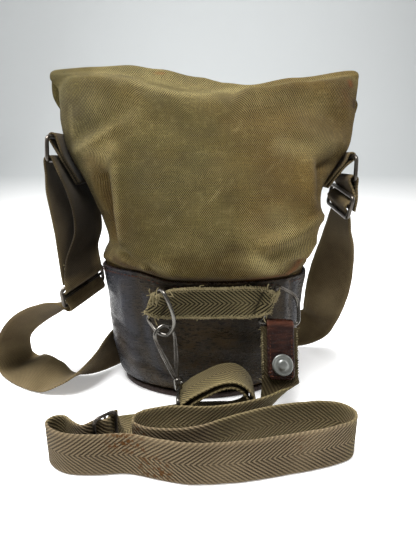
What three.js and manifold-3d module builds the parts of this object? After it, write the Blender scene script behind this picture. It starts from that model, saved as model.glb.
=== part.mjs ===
// Gas mask bag: a canvas sack sewn into an oval leather base, with a front band, two D-rings,
// a snap hook, a leather tab with a stud, a waist strap and a shoulder strap.
// Millimetres. The origin is the middle of the sole on the floor; X right, Y to the back, Z up.
import * as THREE from 'three';
import Module from 'manifold-3d';

const wasm = await Module();
wasm.setup();

// Driving sizes
const GAP = 0.3;
const AROUND = 44;
const CANVAS_WALL = 1.8;
const LEATHER_WALL = 2.5;
const OVAL_POWER = 2.15;
const SOLE_TOP = 5.0;
const BASE_BOTTOM = 5.4;
const RIM_NOMINAL = 105;
const TUCK_DEPTH = 12;
const WAIST_WIDTH = 30;
const WAIST_THICK = 1.7;
const SHOULDER_WIDTH = 41;
const SHOULDER_THICK = 1.8;
const TAB_WIDTH = 22;
const TAB_THICK = 2.0;
const BAND_THICK = 1.8;
const BAND_LOW = 77;
const BAND_HIGH = 102;
const BAND_SHEAR = 5;
const WIRE = 1.5;
const STUD_RADIUS = 8.6;
const STATION_STEP = 10;

const v3 = (x, y, z) => new THREE.Vector3(x, y, z);
const lerp = (a, b, t) => a + (b - a) * t;
const clamp01 = (t) => Math.min(1, Math.max(0, t));
const smooth = (t) => clamp01(t) ** 2 * (3 - 2 * clamp01(t));

// Reads a value from a table of rows sorted by one column, with soft steps in between.
function lookUp(rows, key, value, at) {
  if (at <= rows[0][key]) return rows[0][value];
  for (let i = 1; i < rows.length; i += 1) {
    if (at <= rows[i][key]) {
      const t = (at - rows[i - 1][key]) / (rows[i][key] - rows[i - 1][key]);
      return lerp(rows[i - 1][value], rows[i][value], smooth(t));
    }
  }
  return rows[rows.length - 1][value];
}

// Closed mesh from a vertex list and triangle index list.
function meshOf(vertices, triangles) {
  const geometry = new THREE.BufferGeometry();
  const flat = vertices.flatMap((p) => [p.x, p.y, p.z]);
  geometry.setAttribute('position', new THREE.Float32BufferAttribute(flat, 3));
  geometry.setIndex(triangles.flat());
  geometry.computeVertexNormals();
  return geometry;
}

// Joins rings of equal length into quads; the last ring meets the first when wrap is set.
function bridge(triangles, first, rows, count, wrap) {
  const last = wrap ? rows : rows - 1;
  for (let i = 0; i < last; i += 1) {
    const a = first + i * count;
    const b = first + ((i + 1) % rows) * count;
    for (let k = 0; k < count; k += 1) {
      const n = (k + 1) % count;
      triangles.push([a + k, a + n, b + n], [a + k, b + n, b + k]);
    }
  }
}

// Hollow wall: outer rings from the bottom up, then inner rings from the top down, closed round.
function shell(outer, inner) {
  const rings = [...outer, ...[...inner].reverse()];
  const triangles = [];
  bridge(triangles, 0, rings.length, outer[0].length, true);
  return meshOf(rings.flat(), triangles);
}

// Solid through rings, closed with a fan at each end.
function solid(rings) {
  const count = rings[0].length;
  const vertices = rings.flat();
  const triangles = [];
  bridge(triangles, 0, rings.length, count, false);
  const ends = [rings[0], rings[rings.length - 1]];
  ends.forEach((ring, e) => {
    const middle = ring.reduce((sum, p) => sum.add(p), v3(0, 0, 0)).divideScalar(count);
    const hub = vertices.push(middle) - 1;
    const first = e === 0 ? 0 : (rings.length - 1) * count;
    for (let k = 0; k < count; k += 1) {
      const n = (k + 1) % count;
      triangles.push(e === 0 ? [hub, first + n, first + k] : [hub, first + k, first + n]);
    }
  });
  return meshOf(vertices, triangles);
}

// Oval base: half width and half depth by height.
const BASE_ROWS = [
  { z: 0, halfWidth: 77.5, halfDepth: 46.5 },
  { z: 20, halfWidth: 80.5, halfDepth: 49.5 },
  { z: 45, halfWidth: 82.8, halfDepth: 52 },
  { z: 75, halfWidth: 85, halfDepth: 53.8 },
  { z: 115, halfWidth: 88.5, halfDepth: 55.2 },
];

// Height of the leather rim round the bag; 270 degrees is the front, 180 the left side.
const RIM_ROWS = [
  { azimuth: 0, z: 104 },
  { azimuth: 90, z: 107 },
  { azimuth: 180, z: 109 },
  { azimuth: 205, z: 111.5 },
  { azimuth: 219, z: 111.5 },
  { azimuth: 246, z: 105.5 },
  { azimuth: 290, z: 105 },
  { azimuth: 360, z: 104 },
];

function baseSize(z) {
  return {
    a: lookUp(BASE_ROWS, 'z', 'halfWidth', z),
    b: lookUp(BASE_ROWS, 'z', 'halfDepth', z),
  };
}

function azimuthOf(x, y) {
  return (THREE.MathUtils.radToDeg(Math.atan2(y, x)) + 360) % 360;
}

function rimHeight(x, y) {
  return lookUp(RIM_ROWS, 'azimuth', 'z', azimuthOf(x, y));
}

function oval(k, a, b) {
  const angle = (k / AROUND) * Math.PI * 2 - Math.PI / 2;
  const c = Math.cos(angle);
  const s = Math.sin(angle);
  const e = 2 / OVAL_POWER;
  return { x: a * Math.sign(c) * Math.abs(c) ** e, y: b * Math.sign(s) * Math.abs(s) ** e };
}

// Ring of the base at a height, drawn in by inset; the top ring follows the rim.
function baseRing(z, inset, onRim) {
  const { a, b } = baseSize(z);
  return Array.from({ length: AROUND }, (_, k) => {
    const p = oval(k, a - inset, b - inset);
    return v3(p.x, p.y, onRim ? rimHeight(p.x, p.y) : z);
  });
}

// Turned-in foot of the leather cup: outer and inner surface heights and insets.
const FOOT_ROWS = [
  { outerZ: BASE_BOTTOM, outerInset: 12, innerZ: BASE_BOTTOM + 2.4, innerInset: 12 },
  { outerZ: 6.2, outerInset: 5.5, innerZ: 8.6, innerInset: 7.2 },
  { outerZ: 9, outerInset: 2, innerZ: 11, innerInset: 4.2 },
  { outerZ: 15, outerInset: 0, innerZ: 16, innerInset: LEATHER_WALL },
];
const WALL_HEIGHTS = [35, 58, 82];

function leatherBase() {
  const outer = FOOT_ROWS.map((r) => baseRing(r.outerZ, r.outerInset, false));
  const inner = FOOT_ROWS.map((r) => baseRing(r.innerZ, r.innerInset, false));
  WALL_HEIGHTS.forEach((z) => {
    outer.push(baseRing(z, 0, false));
    inner.push(baseRing(z, LEATHER_WALL, false));
  });
  outer.push(baseRing(RIM_NOMINAL, 0, true));
  inner.push(baseRing(RIM_NOMINAL, LEATHER_WALL, true));
  return shell(outer, inner);
}

// Sole edge: height and how far the ring is drawn in from the sole's outline.
const SOLE_ROWS = [
  { z: 0, inset: 1.2 },
  { z: 1.2, inset: 0 },
  { z: 4, inset: 0 },
  { z: SOLE_TOP, inset: 0.9 },
];
const SOLE_HALF_WIDTH = 75;
const SOLE_HALF_DEPTH = 45.6;

function leatherSole() {
  const rings = SOLE_ROWS.map((r) => Array.from({ length: AROUND }, (_, k) => {
    const p = oval(k, SOLE_HALF_WIDTH - r.inset, SOLE_HALF_DEPTH - r.inset);
    return v3(p.x, p.y, r.z);
  }));
  return solid(rings);
}

// Canvas sections from the seam up. Front middle depth, front corners, sides and back depth;
// rim, crease and ridge say how far the row follows the rim, the front crease and the top ridge.
const SACK_ROWS = [
  { z: 107.6, front: -54.5, frX: 62, frY: -41, rX: 86, rY: -3, back: 54.5, flX: -62, flY: -41,
    lX: -86, lY: -3, rim: 1, crease: 0, ridge: 0 },
  { z: 111, front: -57.5, frX: 66, frY: -43, rX: 88, rY: -3, back: 57.5, flX: -65, flY: -43.5,
    lX: -88.5, lY: -2, rim: 1, crease: 0, ridge: 0 },
  { z: 118, front: -60, frX: 69, frY: -46, rX: 87, rY: -4, back: 60, flX: -64, flY: -46,
    lX: -87, lY: 0, rim: 0.7, crease: 0, ridge: 0 },
  { z: 127, front: -60.5, frX: 77, frY: -45, rX: 87, rY: -5, back: 60, flX: -65, flY: -46.5,
    lX: -84, lY: 4, rim: 0.4, crease: 0, ridge: 0 },
  { z: 142, front: -58, frX: 86, frY: -42, rX: 90, rY: -2, back: 58, flX: -67, flY: -44,
    lX: -87, lY: 8, rim: 0.15, crease: 0, ridge: 0 },
  { z: 160, front: -52.5, frX: 89, frY: -38, rX: 93, rY: 1, back: 54, flX: -69, flY: -40,
    lX: -93.5, lY: 9, rim: 0, crease: 0, ridge: 0 },
  { z: 177, front: -46, frX: 90, frY: -33, rX: 98, rY: 5, back: 48.5, flX: -72, flY: -35.5,
    lX: -100.5, lY: 10, rim: 0, crease: 0, ridge: 0 },
  { z: 192, front: -39, frX: 92, frY: -25, rX: 111, rY: 8, back: 43, flX: -80, flY: -28,
    lX: -109, lY: 10, rim: 0, crease: 0, ridge: 0 },
  { z: 206, front: -32, frX: 94, frY: -16, rX: 120, rY: 9, back: 37.5, flX: -87, flY: -20,
    lX: -115, lY: 11, rim: 0, crease: 0.1, ridge: 0 },
  { z: 221, front: -23.5, frX: 96, frY: -8, rX: 122.5, rY: 11, back: 32, flX: -93, flY: -10,
    lX: -120, lY: 12, rim: 0, crease: 0.4, ridge: 0.2 },
  { z: 236, front: -15, frX: 98, frY: 0, rX: 124, rY: 12.5, back: 27, flX: -97, flY: -1,
    lX: -122, lY: 13, rim: 0, crease: 1, ridge: 0.4 },
  { z: 246, front: 0.5, frX: 101, frY: 9, rX: 125, rY: 14.5, back: 22.5, flX: -100, flY: 9,
    lX: -124, lY: 14.5, rim: 0, crease: 0.6, ridge: 0.8 },
];

// Top fold: turn of the flattened mouth about the fold's axis, half width, then the flap behind.
const FOLD_AXIS = { y: 21.6, z: 253 };
const FOLD_RADIUS = 6.2;
const MOUTH_HALF = 2.7;
const FOLD_ROWS = [
  { turn: 180, drop: 0, halfWidth: 125.5 },
  { turn: 150, drop: 0, halfWidth: 126 },
  { turn: 115, drop: 0, halfWidth: 126 },
  { turn: 80, drop: 0, halfWidth: 126.5 },
  { turn: 45, drop: 0, halfWidth: 127.5 },
  { turn: 5, drop: 0, halfWidth: 129 },
  { turn: -6, drop: 8, halfWidth: 129 },
  { turn: -6, drop: 16, halfWidth: 126.5 },
  { turn: -6, drop: 24, halfWidth: 122 },
];

// Sag of the top ridge and of the crease in front of it, across the width.
const CREST_ROWS = [
  { x: -128, ridge: 5, crease: 19 },
  { x: -88, ridge: 6, crease: 19 },
  { x: -62, ridge: 5.5, crease: 14 },
  { x: -38, ridge: 1, crease: 7 },
  { x: -5, ridge: -4, crease: 1 },
  { x: 18, ridge: -7, crease: 2 },
  { x: 36, ridge: -7, crease: 11 },
  { x: 75, ridge: 0, crease: 16 },
  { x: 128, ridge: 7, crease: 20 },
];

// Hollows pressed into the sack: where, how deep and how far they reach.
const DENT_ROWS = [
  { azimuth: 199, z: 150, depth: 7, spanAzimuth: 13, spanZ: 27 },
  { azimuth: 348, z: 158, depth: 6, spanAzimuth: 12, spanZ: 24 },
  { azimuth: 347, z: 115, depth: 5, spanAzimuth: 7, spanZ: 5 },
  { azimuth: 312, z: 121, depth: 2.5, spanAzimuth: 6, spanZ: 9 },
  { azimuth: 299, z: 132, depth: -2, spanAzimuth: 5, spanZ: 12 },
  { azimuth: 250, z: 196, depth: 2.5, spanAzimuth: 11, spanZ: 14 },
  { azimuth: 285, z: 178, depth: -2, spanAzimuth: 12, spanZ: 16 },
  { azimuth: 95, z: 165, depth: 3, spanAzimuth: 22, spanZ: 26 },
];

function dentAt(x, y, z) {
  const azimuth = azimuthOf(x, y);
  return DENT_ROWS.reduce((sum, d) => {
    const across = (azimuth - d.azimuth) / d.spanAzimuth;
    const up = (z - d.z) / d.spanZ;
    return sum + d.depth * Math.exp(-(across * across + up * up));
  }, 0);
}

// Closed soft outline of one canvas section.
function sackOutline(r) {
  const backR = { x: 0.8 * r.rX, y: lerp(r.rY, r.back, 0.7) };
  const backL = { x: 0.8 * r.lX, y: lerp(r.lY, r.back, 0.7) };
  const knots = [
    v3(0.5 * (r.frX + r.flX), r.front, 0),
    v3(lerp(r.flX, r.frX, 0.77), lerp(r.front, r.frY, 0.16), 0),
    v3(r.frX, r.frY, 0),
    v3(r.rX, r.rY, 0),
    v3(backR.x, backR.y, 0),
    v3(0.45 * r.rX, lerp(r.rY, r.back, 0.94), 0),
    v3(0, r.back, 0),
    v3(0.45 * r.lX, lerp(r.lY, r.back, 0.94), 0),
    v3(backL.x, backL.y, 0),
    v3(r.lX, r.lY, 0),
    v3(r.flX, r.flY, 0),
    v3(lerp(r.flX, r.frX, 0.23), lerp(r.front, r.flY, 0.16), 0),
  ];
  const curve = new THREE.CatmullRomCurve3(knots, true, 'centripetal');
  return Array.from({ length: AROUND }, (_, k) => curve.getPoint(k / AROUND));
}

function sackRing(r) {
  const middle = 0.5 * (r.rY + r.lY);
  return sackOutline(r).map((p) => {
    const front = smooth((middle - p.y) / 14 + 0.2);
    const lift = (rimHeight(p.x, p.y) - RIM_NOMINAL) * r.rim
      + lookUp(CREST_ROWS, 'x', 'ridge', p.x) * r.ridge * (1 - 0.6 * front * r.crease)
      + lookUp(CREST_ROWS, 'x', 'crease', p.x) * r.crease * front;
    const pull = dentAt(p.x, p.y, r.z);
    const reach = Math.hypot(p.x, p.y);
    return v3(p.x * (1 - pull / reach), p.y * (1 - pull / reach), r.z + lift);
  });
}

// Moves a ring inward in its own plane by the wall.
function inward(ring, wall) {
  return ring.map((p, k) => {
    const before = ring[(k + ring.length - 1) % ring.length];
    const after = ring[(k + 1) % ring.length];
    const along = after.clone().sub(before).setZ(0).normalize();
    return v3(p.x - along.y * wall, p.y + along.x * wall, p.z);
  });
}

// Flattened mouth on the fold: half thickness scaled, turned about the fold's axis.
function foldRing(r, thickness, trim) {
  const turn = THREE.MathUtils.degToRad(r.turn);
  const out = { y: Math.cos(turn), z: Math.sin(turn) };
  return Array.from({ length: AROUND }, (_, k) => {
    const angle = (k / AROUND) * Math.PI * 2 - Math.PI / 2;
    const x = (r.halfWidth - trim) * Math.sign(Math.cos(angle)) * Math.abs(Math.cos(angle)) ** 0.8;
    const side = thickness * Math.sign(Math.sin(angle)) * Math.abs(Math.sin(angle)) ** 0.5;
    const radius = FOLD_RADIUS - side;
    const ridge = lookUp(CREST_ROWS, 'x', 'ridge', x);
    return v3(x, FOLD_AXIS.y + out.y * radius, FOLD_AXIS.z + out.z * radius - r.drop + ridge);
  });
}

function canvasBody() {
  const tuckInset = LEATHER_WALL + GAP;
  const tuck = (drop, inset) => baseRing(RIM_NOMINAL, inset, true).map((p) => {
    const size = baseSize(p.z - drop);
    const top = baseSize(RIM_NOMINAL);
    const nx = (p.x * (size.a - inset)) / (top.a - inset);
    const ny = (p.y * (size.b - inset)) / (top.b - inset);
    return v3(nx, ny, p.z - drop);
  });
  const outer = [tuck(TUCK_DEPTH, tuckInset + 0.4), tuck(-0.5, tuckInset + 0.1)];
  const inset = tuckInset + CANVAS_WALL;
  const inner = [tuck(TUCK_DEPTH, inset + 0.4), tuck(-0.5, inset + 0.1)];
  SACK_ROWS.forEach((r) => {
    const ring = sackRing(r);
    outer.push(ring);
    inner.push(inward(ring, CANVAS_WALL));
  });
  FOLD_ROWS.forEach((r) => {
    outer.push(foldRing(r, MOUTH_HALF, 0));
    inner.push(foldRing(r, MOUTH_HALF - CANVAS_WALL, 2.2));
  });
  return shell(outer, inner);
}

// Soft path through rows; the width direction turns along with it.
function stationsOf(rows) {
  const centres = new THREE.CatmullRomCurve3(rows.map((r) => v3(r.x, r.y, r.z)), false, 'centripetal');
  const widths = rows.map((r) => v3(r.wx, r.wy, r.wz).normalize());
  const stations = [];
  for (let i = 0; i < rows.length - 1; i += 1) {
    const span = centres.points[i].distanceTo(centres.points[i + 1]);
    const turn = widths[i].angleTo(widths[i + 1]);
    const steps = Math.max(1, Math.ceil(span / STATION_STEP), Math.ceil(turn / 0.25));
    const last = i === rows.length - 2 ? steps : steps - 1;
    for (let s = 0; s <= last; s += 1) {
      const t = s / steps;
      const width = widths[i].clone().lerp(widths[i + 1], smooth(t)).normalize();
      stations.push({ centre: centres.getPoint((i + t) / (rows.length - 1)), width });
    }
  }
  return stations;
}

// Direction of travel at each station.
function headings(stations) {
  return stations.map((s, i) => {
    const before = stations[Math.max(0, i - 1)].centre;
    const after = stations[Math.min(stations.length - 1, i + 1)].centre;
    return after.clone().sub(before).normalize();
  });
}

// Flat webbing of one width and thickness through stations.
function webbing(stations, width, thick) {
  const along = headings(stations);
  const rings = stations.map((s, i) => {
    const face = along[i].clone().cross(s.width).normalize().multiplyScalar(thick / 2);
    const reach = s.width.clone().multiplyScalar((s.span ?? width) / 2);
    const corner = (w, n) => s.centre.clone().addScaledVector(reach, w).addScaledVector(face, n);
    return [corner(-1, -1), corner(1, -1), corner(1, 1), corner(-1, 1)];
  });
  return solid(rings);
}

// Round wire through points; flat says which way the loop faces.
function wire(points, radius, flat, closed, sides = 6) {
  const count = points.length;
  const rings = points.map((p, i) => {
    const before = closed ? points[(i + count - 1) % count] : points[Math.max(0, i - 1)];
    const after = closed ? points[(i + 1) % count] : points[Math.min(count - 1, i + 1)];
    const along = after.clone().sub(before).normalize();
    const across = along.clone().cross(flat).normalize();
    const up = across.clone().cross(along).normalize();
    return Array.from({ length: sides }, (_, k) => {
      const angle = (k / sides) * Math.PI * 2;
      const c = Math.cos(angle) * radius;
      return p.clone().addScaledVector(across, c).addScaledVector(up, Math.sin(angle) * radius);
    });
  });
  if (!closed) return solid(rings.map((ring) => [...ring].reverse()));
  const triangles = [];
  bridge(triangles, 0, count, sides, true);
  const loop = meshOf(rings.flat(), triangles);
  return volumeOf(loop) < 0 ? flipped(loop) : loop;
}

function volumeOf(geometry) {
  const p = geometry.getAttribute('position');
  const index = geometry.getIndex().array;
  let sum = 0;
  for (let i = 0; i < index.length; i += 3) {
    const a = v3(0, 0, 0).fromBufferAttribute(p, index[i]);
    const b = v3(0, 0, 0).fromBufferAttribute(p, index[i + 1]);
    const c = v3(0, 0, 0).fromBufferAttribute(p, index[i + 2]);
    sum += a.dot(b.cross(c));
  }
  return sum;
}

function flipped(geometry) {
  const index = Array.from(geometry.getIndex().array);
  for (let i = 0; i < index.length; i += 3) [index[i], index[i + 1]] = [index[i + 1], index[i]];
  geometry.setIndex(index);
  geometry.computeVertexNormals();
  return geometry;
}

const outward = (geometry) => (volumeOf(geometry) < 0 ? flipped(geometry) : geometry);

// Closed path through corners, each rounded off over its reach.
function roundedLoop(corners, reach, steps = 4) {
  const count = corners.length;
  return corners.flatMap((corner, i) => {
    const before = corners[(i + count - 1) % count];
    const after = corners[(i + 1) % count];
    const into = before.clone().sub(corner);
    const away = after.clone().sub(corner);
    const round = Array.isArray(reach) ? reach[i] : reach;
    const a = corner.clone().addScaledVector(into, Math.min(0.48, round / into.length()));
    const b = corner.clone().addScaledVector(away, Math.min(0.48, round / away.length()));
    return Array.from({ length: steps + 1 }, (_, s) => {
      const t = s / steps;
      return a.clone().lerp(corner, t).lerp(corner.clone().lerp(b, t), t);
    });
  });
}

function toManifold(geometry) {
  const vertProperties = Float32Array.from(geometry.getAttribute('position').array);
  const triVerts = Uint32Array.from(geometry.getIndex().array);
  const mesh = new wasm.Mesh({ numProp: 3, vertProperties, triVerts });
  mesh.merge();
  return new wasm.Manifold(mesh);
}

// Soldered metal: closed pieces joined into one solid.
function joined(pieces) {
  const total = pieces.map((g) => toManifold(outward(g))).reduce((a, b) => a.add(b));
  const mesh = total.getMesh();
  const vertices = [];
  for (let i = 0; i < mesh.vertProperties.length; i += mesh.numProp) {
    vertices.push(v3(mesh.vertProperties[i], mesh.vertProperties[i + 1], mesh.vertProperties[i + 2]));
  }
  const triangles = [];
  for (let i = 0; i < mesh.triVerts.length; i += 3) {
    triangles.push([mesh.triVerts[i], mesh.triVerts[i + 1], mesh.triVerts[i + 2]]);
  }
  return meshOf(vertices, triangles);
}

// Frame with a centre bar: place, long direction across the strap, and travel along the strap.
function sliderFrame(place) {
  const across = v3(...place.across).normalize();
  const along = v3(...place.along);
  along.addScaledVector(across, -along.dot(across)).normalize();
  const face = across.clone().cross(along).normalize();
  return { centre: v3(...place.centre), across, along, face };
}

function slider(place, halfAcross, halfAlong, radius) {
  const f = sliderFrame(place);
  const at = (a, t) => f.centre.clone().addScaledVector(f.across, a).addScaledVector(f.along, t);
  const corners = [
    at(-halfAcross, -halfAlong),
    at(halfAcross, -halfAlong),
    at(halfAcross, halfAlong),
    at(-halfAcross, halfAlong),
  ];
  const frame = wire(roundedLoop(corners, 4), radius, f.face, true);
  const bar = wire([at(-halfAcross, 0), at(halfAcross, 0)], radius * 0.85, f.face, false);
  return joined([frame, bar]);
}

// Strap rows woven through a slider: behind the first bar, over the centre bar, behind the last.
const WEAVE_ROWS = [
  { along: -13, face: -1 },
  { along: -7.5, face: -1 },
  { along: 0, face: 1 },
  { along: 7.5, face: -1 },
  { along: 13, face: -1 },
];

function woven(place, lift, sign, clearance) {
  const f = sliderFrame(place);
  return WEAVE_ROWS.map((r) => {
    const p = f.centre.clone().addScaledVector(f.along, r.along * lift);
    p.addScaledVector(f.face, r.face * sign * clearance);
    return { x: p.x, y: p.y, z: p.z, wx: f.across.x, wy: f.across.y, wz: f.across.z };
  });
}

// Arc of strap rows round a bar lying along the width direction, in the X-Z plane.
function roundBar(bar, radius, from, to, steps) {
  return Array.from({ length: steps + 1 }, (_, s) => {
    const angle = THREE.MathUtils.degToRad(lerp(from, to, s / steps));
    return {
      x: bar.x + radius * Math.cos(angle),
      y: bar.y,
      z: bar.z + radius * Math.sin(angle),
      wx: bar.wx,
      wy: bar.wy,
      wz: bar.wz,
    };
  });
}

// Side rings: middle of the upper and lower bars, and half the clear width along Y.
const RING_HALF = 23;
const RING_LEFT = { x: -121, y: 5, top: 212, low: 194, lean: -1.5 };
const RING_RIGHT = { x: 118.5, y: 4, top: 197, low: 179, lean: 0.5 };

function sideRing(ring) {
  const corners = [
    v3(ring.x, ring.y - RING_HALF, ring.top),
    v3(ring.x, ring.y + RING_HALF, ring.top),
    v3(ring.x + ring.lean, ring.y + RING_HALF, ring.low),
    v3(ring.x + ring.lean, ring.y - RING_HALF, ring.low),
  ];
  return outward(wire(roundedLoop(corners, 5), WIRE + 0.1, v3(1, 0, 0), true));
}

// Side tabs: doubled webbing from under the wing, round the ring's upper bar and back.
const SIDE_TAB_WIDTH = 31;
const SIDE_TAB_BACK = 3.5;
const SIDE_TAB_THICK = 1.8;
const TAB_TURN = WIRE + 0.1 + GAP + SIDE_TAB_THICK / 2;
const SIDE_TAB_LEFT = {
  inner: [{ x: -102.2, z: 176 }, { x: -107.6, z: 186 }, { x: -114, z: 198 }],
  outer: [{ x: -116.6, z: 197.4 }, { x: -110, z: 185.4 }, { x: -104.6, z: 175 }],
  from: 40,
  to: 215,
};
const SIDE_TAB_RIGHT = {
  inner: [{ x: 98.6, z: 174 }, { x: 106.4, z: 184 }, { x: 113.4, z: 192.6 }],
  outer: [{ x: 114.4, z: 189.8 }, { x: 108.8, z: 182.8 }, { x: 101, z: 172.6 }],
  from: 136,
  to: -42,
};

function sideTab(ring, tab) {
  const y = ring.y + SIDE_TAB_BACK;
  const flatRow = (p) => ({ x: p.x, y, z: p.z, wx: 0, wy: 1, wz: 0 });
  const bar = { x: ring.x, y, z: ring.top, wx: 0, wy: 1, wz: 0 };
  const rows = [
    ...tab.inner.map(flatRow),
    ...roundBar(bar, TAB_TURN, tab.from, tab.to, 5),
    ...tab.outer.map(flatRow),
  ];
  return outward(webbing(stationsOf(rows), SIDE_TAB_WIDTH, SIDE_TAB_THICK));
}

// Shoulder strap, from its sewn end by the left slider to the one by the right slider.
const LEFT_SLIDER = { centre: [-104, -13.5, 91], across: [0.53, 0.8, 0.28], along: [-0.03, 0.35, -0.94] };
const RIGHT_SLIDER = { centre: [114, 0, 161.5], across: [0.09, -0.98, -0.18], along: [0.1, 0.1, 1] };
const STRAP_TURN = WIRE + 0.25 + 2 * GAP + SHOULDER_THICK / 2;
const SLIDER_CLEAR = 1.6 + GAP + SHOULDER_THICK / 2;
const LEFT_OUTER_ROWS = [
  { x: -108.4, y: -12, z: 100.5, wx: 0.53, wy: 0.8, wz: 0.28 },
  { x: -110.6, y: -10.5, z: 112, wx: 0.45, wy: 0.85, wz: 0.2 },
  { x: -115, y: -5, z: 136, wx: 0.3, wy: 0.95, wz: 0 },
  { x: -123.6, y: 2, z: 172, wx: 0.1, wy: 0.99, wz: 0 },
  { x: -126, y: 5, z: 186, wx: 0, wy: 1, wz: 0 },
];
const LEFT_INNER_ROWS = [
  { x: -114, y: 4, z: 182, wx: 0, wy: 1, wz: 0 },
  { x: -106, y: 1, z: 164, wx: 0.2, wy: 0.98, wz: 0 },
  { x: -100, y: -3, z: 138, wx: 0.3, wy: 0.95, wz: 0 },
  { x: -103, y: -11, z: 119, wx: 0.42, wy: 0.88, wz: 0.18 },
];
const LEFT_ARCH_ROWS = [
  { x: -119, y: -9, z: 75, wx: 0.2, wy: 0.93, wz: -0.2 },
  { x: -134, y: -12, z: 69.5, wx: -0.05, wy: 0.83, wz: -0.5 },
  { x: -154, y: -7, z: 58.5, wx: -0.08, wy: 0.74, wz: -0.67 },
  { x: -168, y: 0, z: 47, wx: 0.05, wy: 0.71, wz: -0.7 },
  { x: -179, y: 7.5, z: 31, wx: 0.32, wy: 0.75, wz: -0.57 },
  { x: -184, y: 12, z: 16, wx: 0.5, wy: 0.78, wz: -0.36 },
  { x: -181, y: 13, z: 4, wx: 0.62, wy: 0.78, wz: -0.02 },
];
const FLOOR_ROWS = [
  { x: -166, y: -2, z: 6.5, wx: 0.48, wy: 0.84, wz: 0.25 },
  { x: -151, y: -13, z: 8, wx: 0.27, wy: 0.91, wz: 0.32 },
  { x: -138, y: -18, z: 6, wx: 0.18, wy: 0.96, wz: 0.2 },
  { x: -124, y: -22, z: 6.5, wx: 0, wy: 0.97, wz: -0.22 },
  { x: -112, y: -23, z: 11, wx: -0.27, wy: 0.84, wz: -0.46 },
  { x: -100, y: -16, z: 17, wx: -0.25, wy: 0.6, wz: -0.76 },
  { x: -92, y: -3, z: 20.5, wx: -0.13, wy: 0.34, wz: -0.93 },
];
const BACK_ROWS = [
  { x: -84.5, y: 14, z: 21.5, wx: 0, wy: 0.1, wz: -0.99 },
  { x: -75, y: 32, z: 21.5, wx: 0, wy: 0, wz: -1 },
  { x: -57, y: 46, z: 21.5, wx: 0, wy: 0, wz: -1 },
  { x: -30, y: 53.5, z: 21.5, wx: 0, wy: 0, wz: -1 },
  { x: 0, y: 55.5, z: 21.5, wx: 0, wy: 0, wz: -1 },
  { x: 38, y: 54.5, z: 21.5, wx: 0, wy: 0, wz: -1 },
  { x: 72, y: 54, z: 21.5, wx: 0.05, wy: 0, wz: -1 },
];
const RIGHT_RISE_ROWS = [
  { x: 101, y: 55.5, z: 22, wx: 0.23, wy: 0.02, wz: -0.97 },
  { x: 115, y: 55, z: 28, wx: 0.66, wy: 0.02, wz: -0.75 },
  { x: 117.5, y: 44, z: 44, wx: 0.87, wy: 0.02, wz: -0.5 },
  { x: 116.5, y: 31, z: 68.5, wx: 0.95, wy: -0.05, wz: -0.3 },
  { x: 115, y: 20, z: 100, wx: 0.96, wy: -0.25, wz: -0.12 },
  { x: 114, y: 11, z: 126, wx: 0.72, wy: -0.68, wz: -0.06 },
  { x: 113.5, y: 5, z: 141, wx: 0.35, wy: -0.93, wz: -0.12 },
];
const RIGHT_OUTER_ROWS = [
  { x: 121.7, y: 3, z: 174, wx: 0, wy: -1, wz: 0 },
  { x: 121.2, y: 1.5, z: 167, wx: 0.05, wy: -0.99, wz: -0.1 },
  { x: 119.2, y: 0.5, z: 158, wx: 0.09, wy: -0.98, wz: -0.18 },
];

function shoulderStrap() {
  const lowBar = (ring, wy) => ({ x: ring.x + ring.lean, y: ring.y, z: ring.low, wx: 0, wy, wz: 0 });
  const leftBar = lowBar(RING_LEFT, 1);
  const rightBar = lowBar(RING_RIGHT, -1);
  const rows = [
    ...LEFT_OUTER_ROWS,
    ...roundBar(leftBar, STRAP_TURN, 175, 5, 5),
    ...LEFT_INNER_ROWS,
    ...woven(LEFT_SLIDER, 1, 1, SLIDER_CLEAR),
    ...LEFT_ARCH_ROWS,
    ...FLOOR_ROWS,
    ...BACK_ROWS,
    ...RIGHT_RISE_ROWS,
    ...woven(RIGHT_SLIDER, 1, 1, SLIDER_CLEAR).slice(1, 4),
    ...roundBar(rightBar, STRAP_TURN, 190, -10, 5),
    ...RIGHT_OUTER_ROWS,
  ];
  return outward(webbing(stationsOf(rows), SHOULDER_WIDTH, SHOULDER_THICK));
}

// Front band: distances out from the base wall along its length, wrapped round both ring bars.
const BAND_INNER = 1.9;
const BAND_TURN = WIRE + 2 * GAP + BAND_THICK / 2;
const BAND_BAR_OUT = BAND_INNER + BAND_TURN;
const BAND_LEFT_BAR = -38.5;
const BAND_RIGHT_BAR = 51.5;
const BAND_END_ROWS = [
  { from: 15, out: BAND_INNER, trimLow: 2, trimHigh: 3 },
  { from: 3, out: BAND_INNER, trimLow: 3, trimHigh: 5 },
  { from: -2, out: BAND_BAR_OUT - 2.2, trimLow: 3.4, trimHigh: 6 },
  { from: -3.3, out: BAND_BAR_OUT, trimLow: 3.4, trimHigh: 6 },
  { from: -2.2, out: BAND_BAR_OUT + 2.2, trimLow: 3.4, trimHigh: 6 },
  { from: 0.4, out: BAND_BAR_OUT + BAND_TURN, trimLow: 3, trimHigh: 6 },
  { from: 4, out: BAND_BAR_OUT + 2.3, trimLow: 1.5, trimHigh: 4 },
  { from: 10, out: 4.9, trimLow: 0.4, trimHigh: 1 },
  { from: 18, out: 4.2, trimLow: 0, trimHigh: 0 },
  { from: 26, out: 2.2, trimLow: 0, trimHigh: 0 },
];

// Point out from the front wall of the base.
function frontWall(x, z, out) {
  const { a, b } = baseSize(z);
  const y = -(b + out) * (1 - Math.abs(x / (a + out)) ** OVAL_POWER) ** (1 / OVAL_POWER);
  return v3(x, y, z);
}

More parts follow.
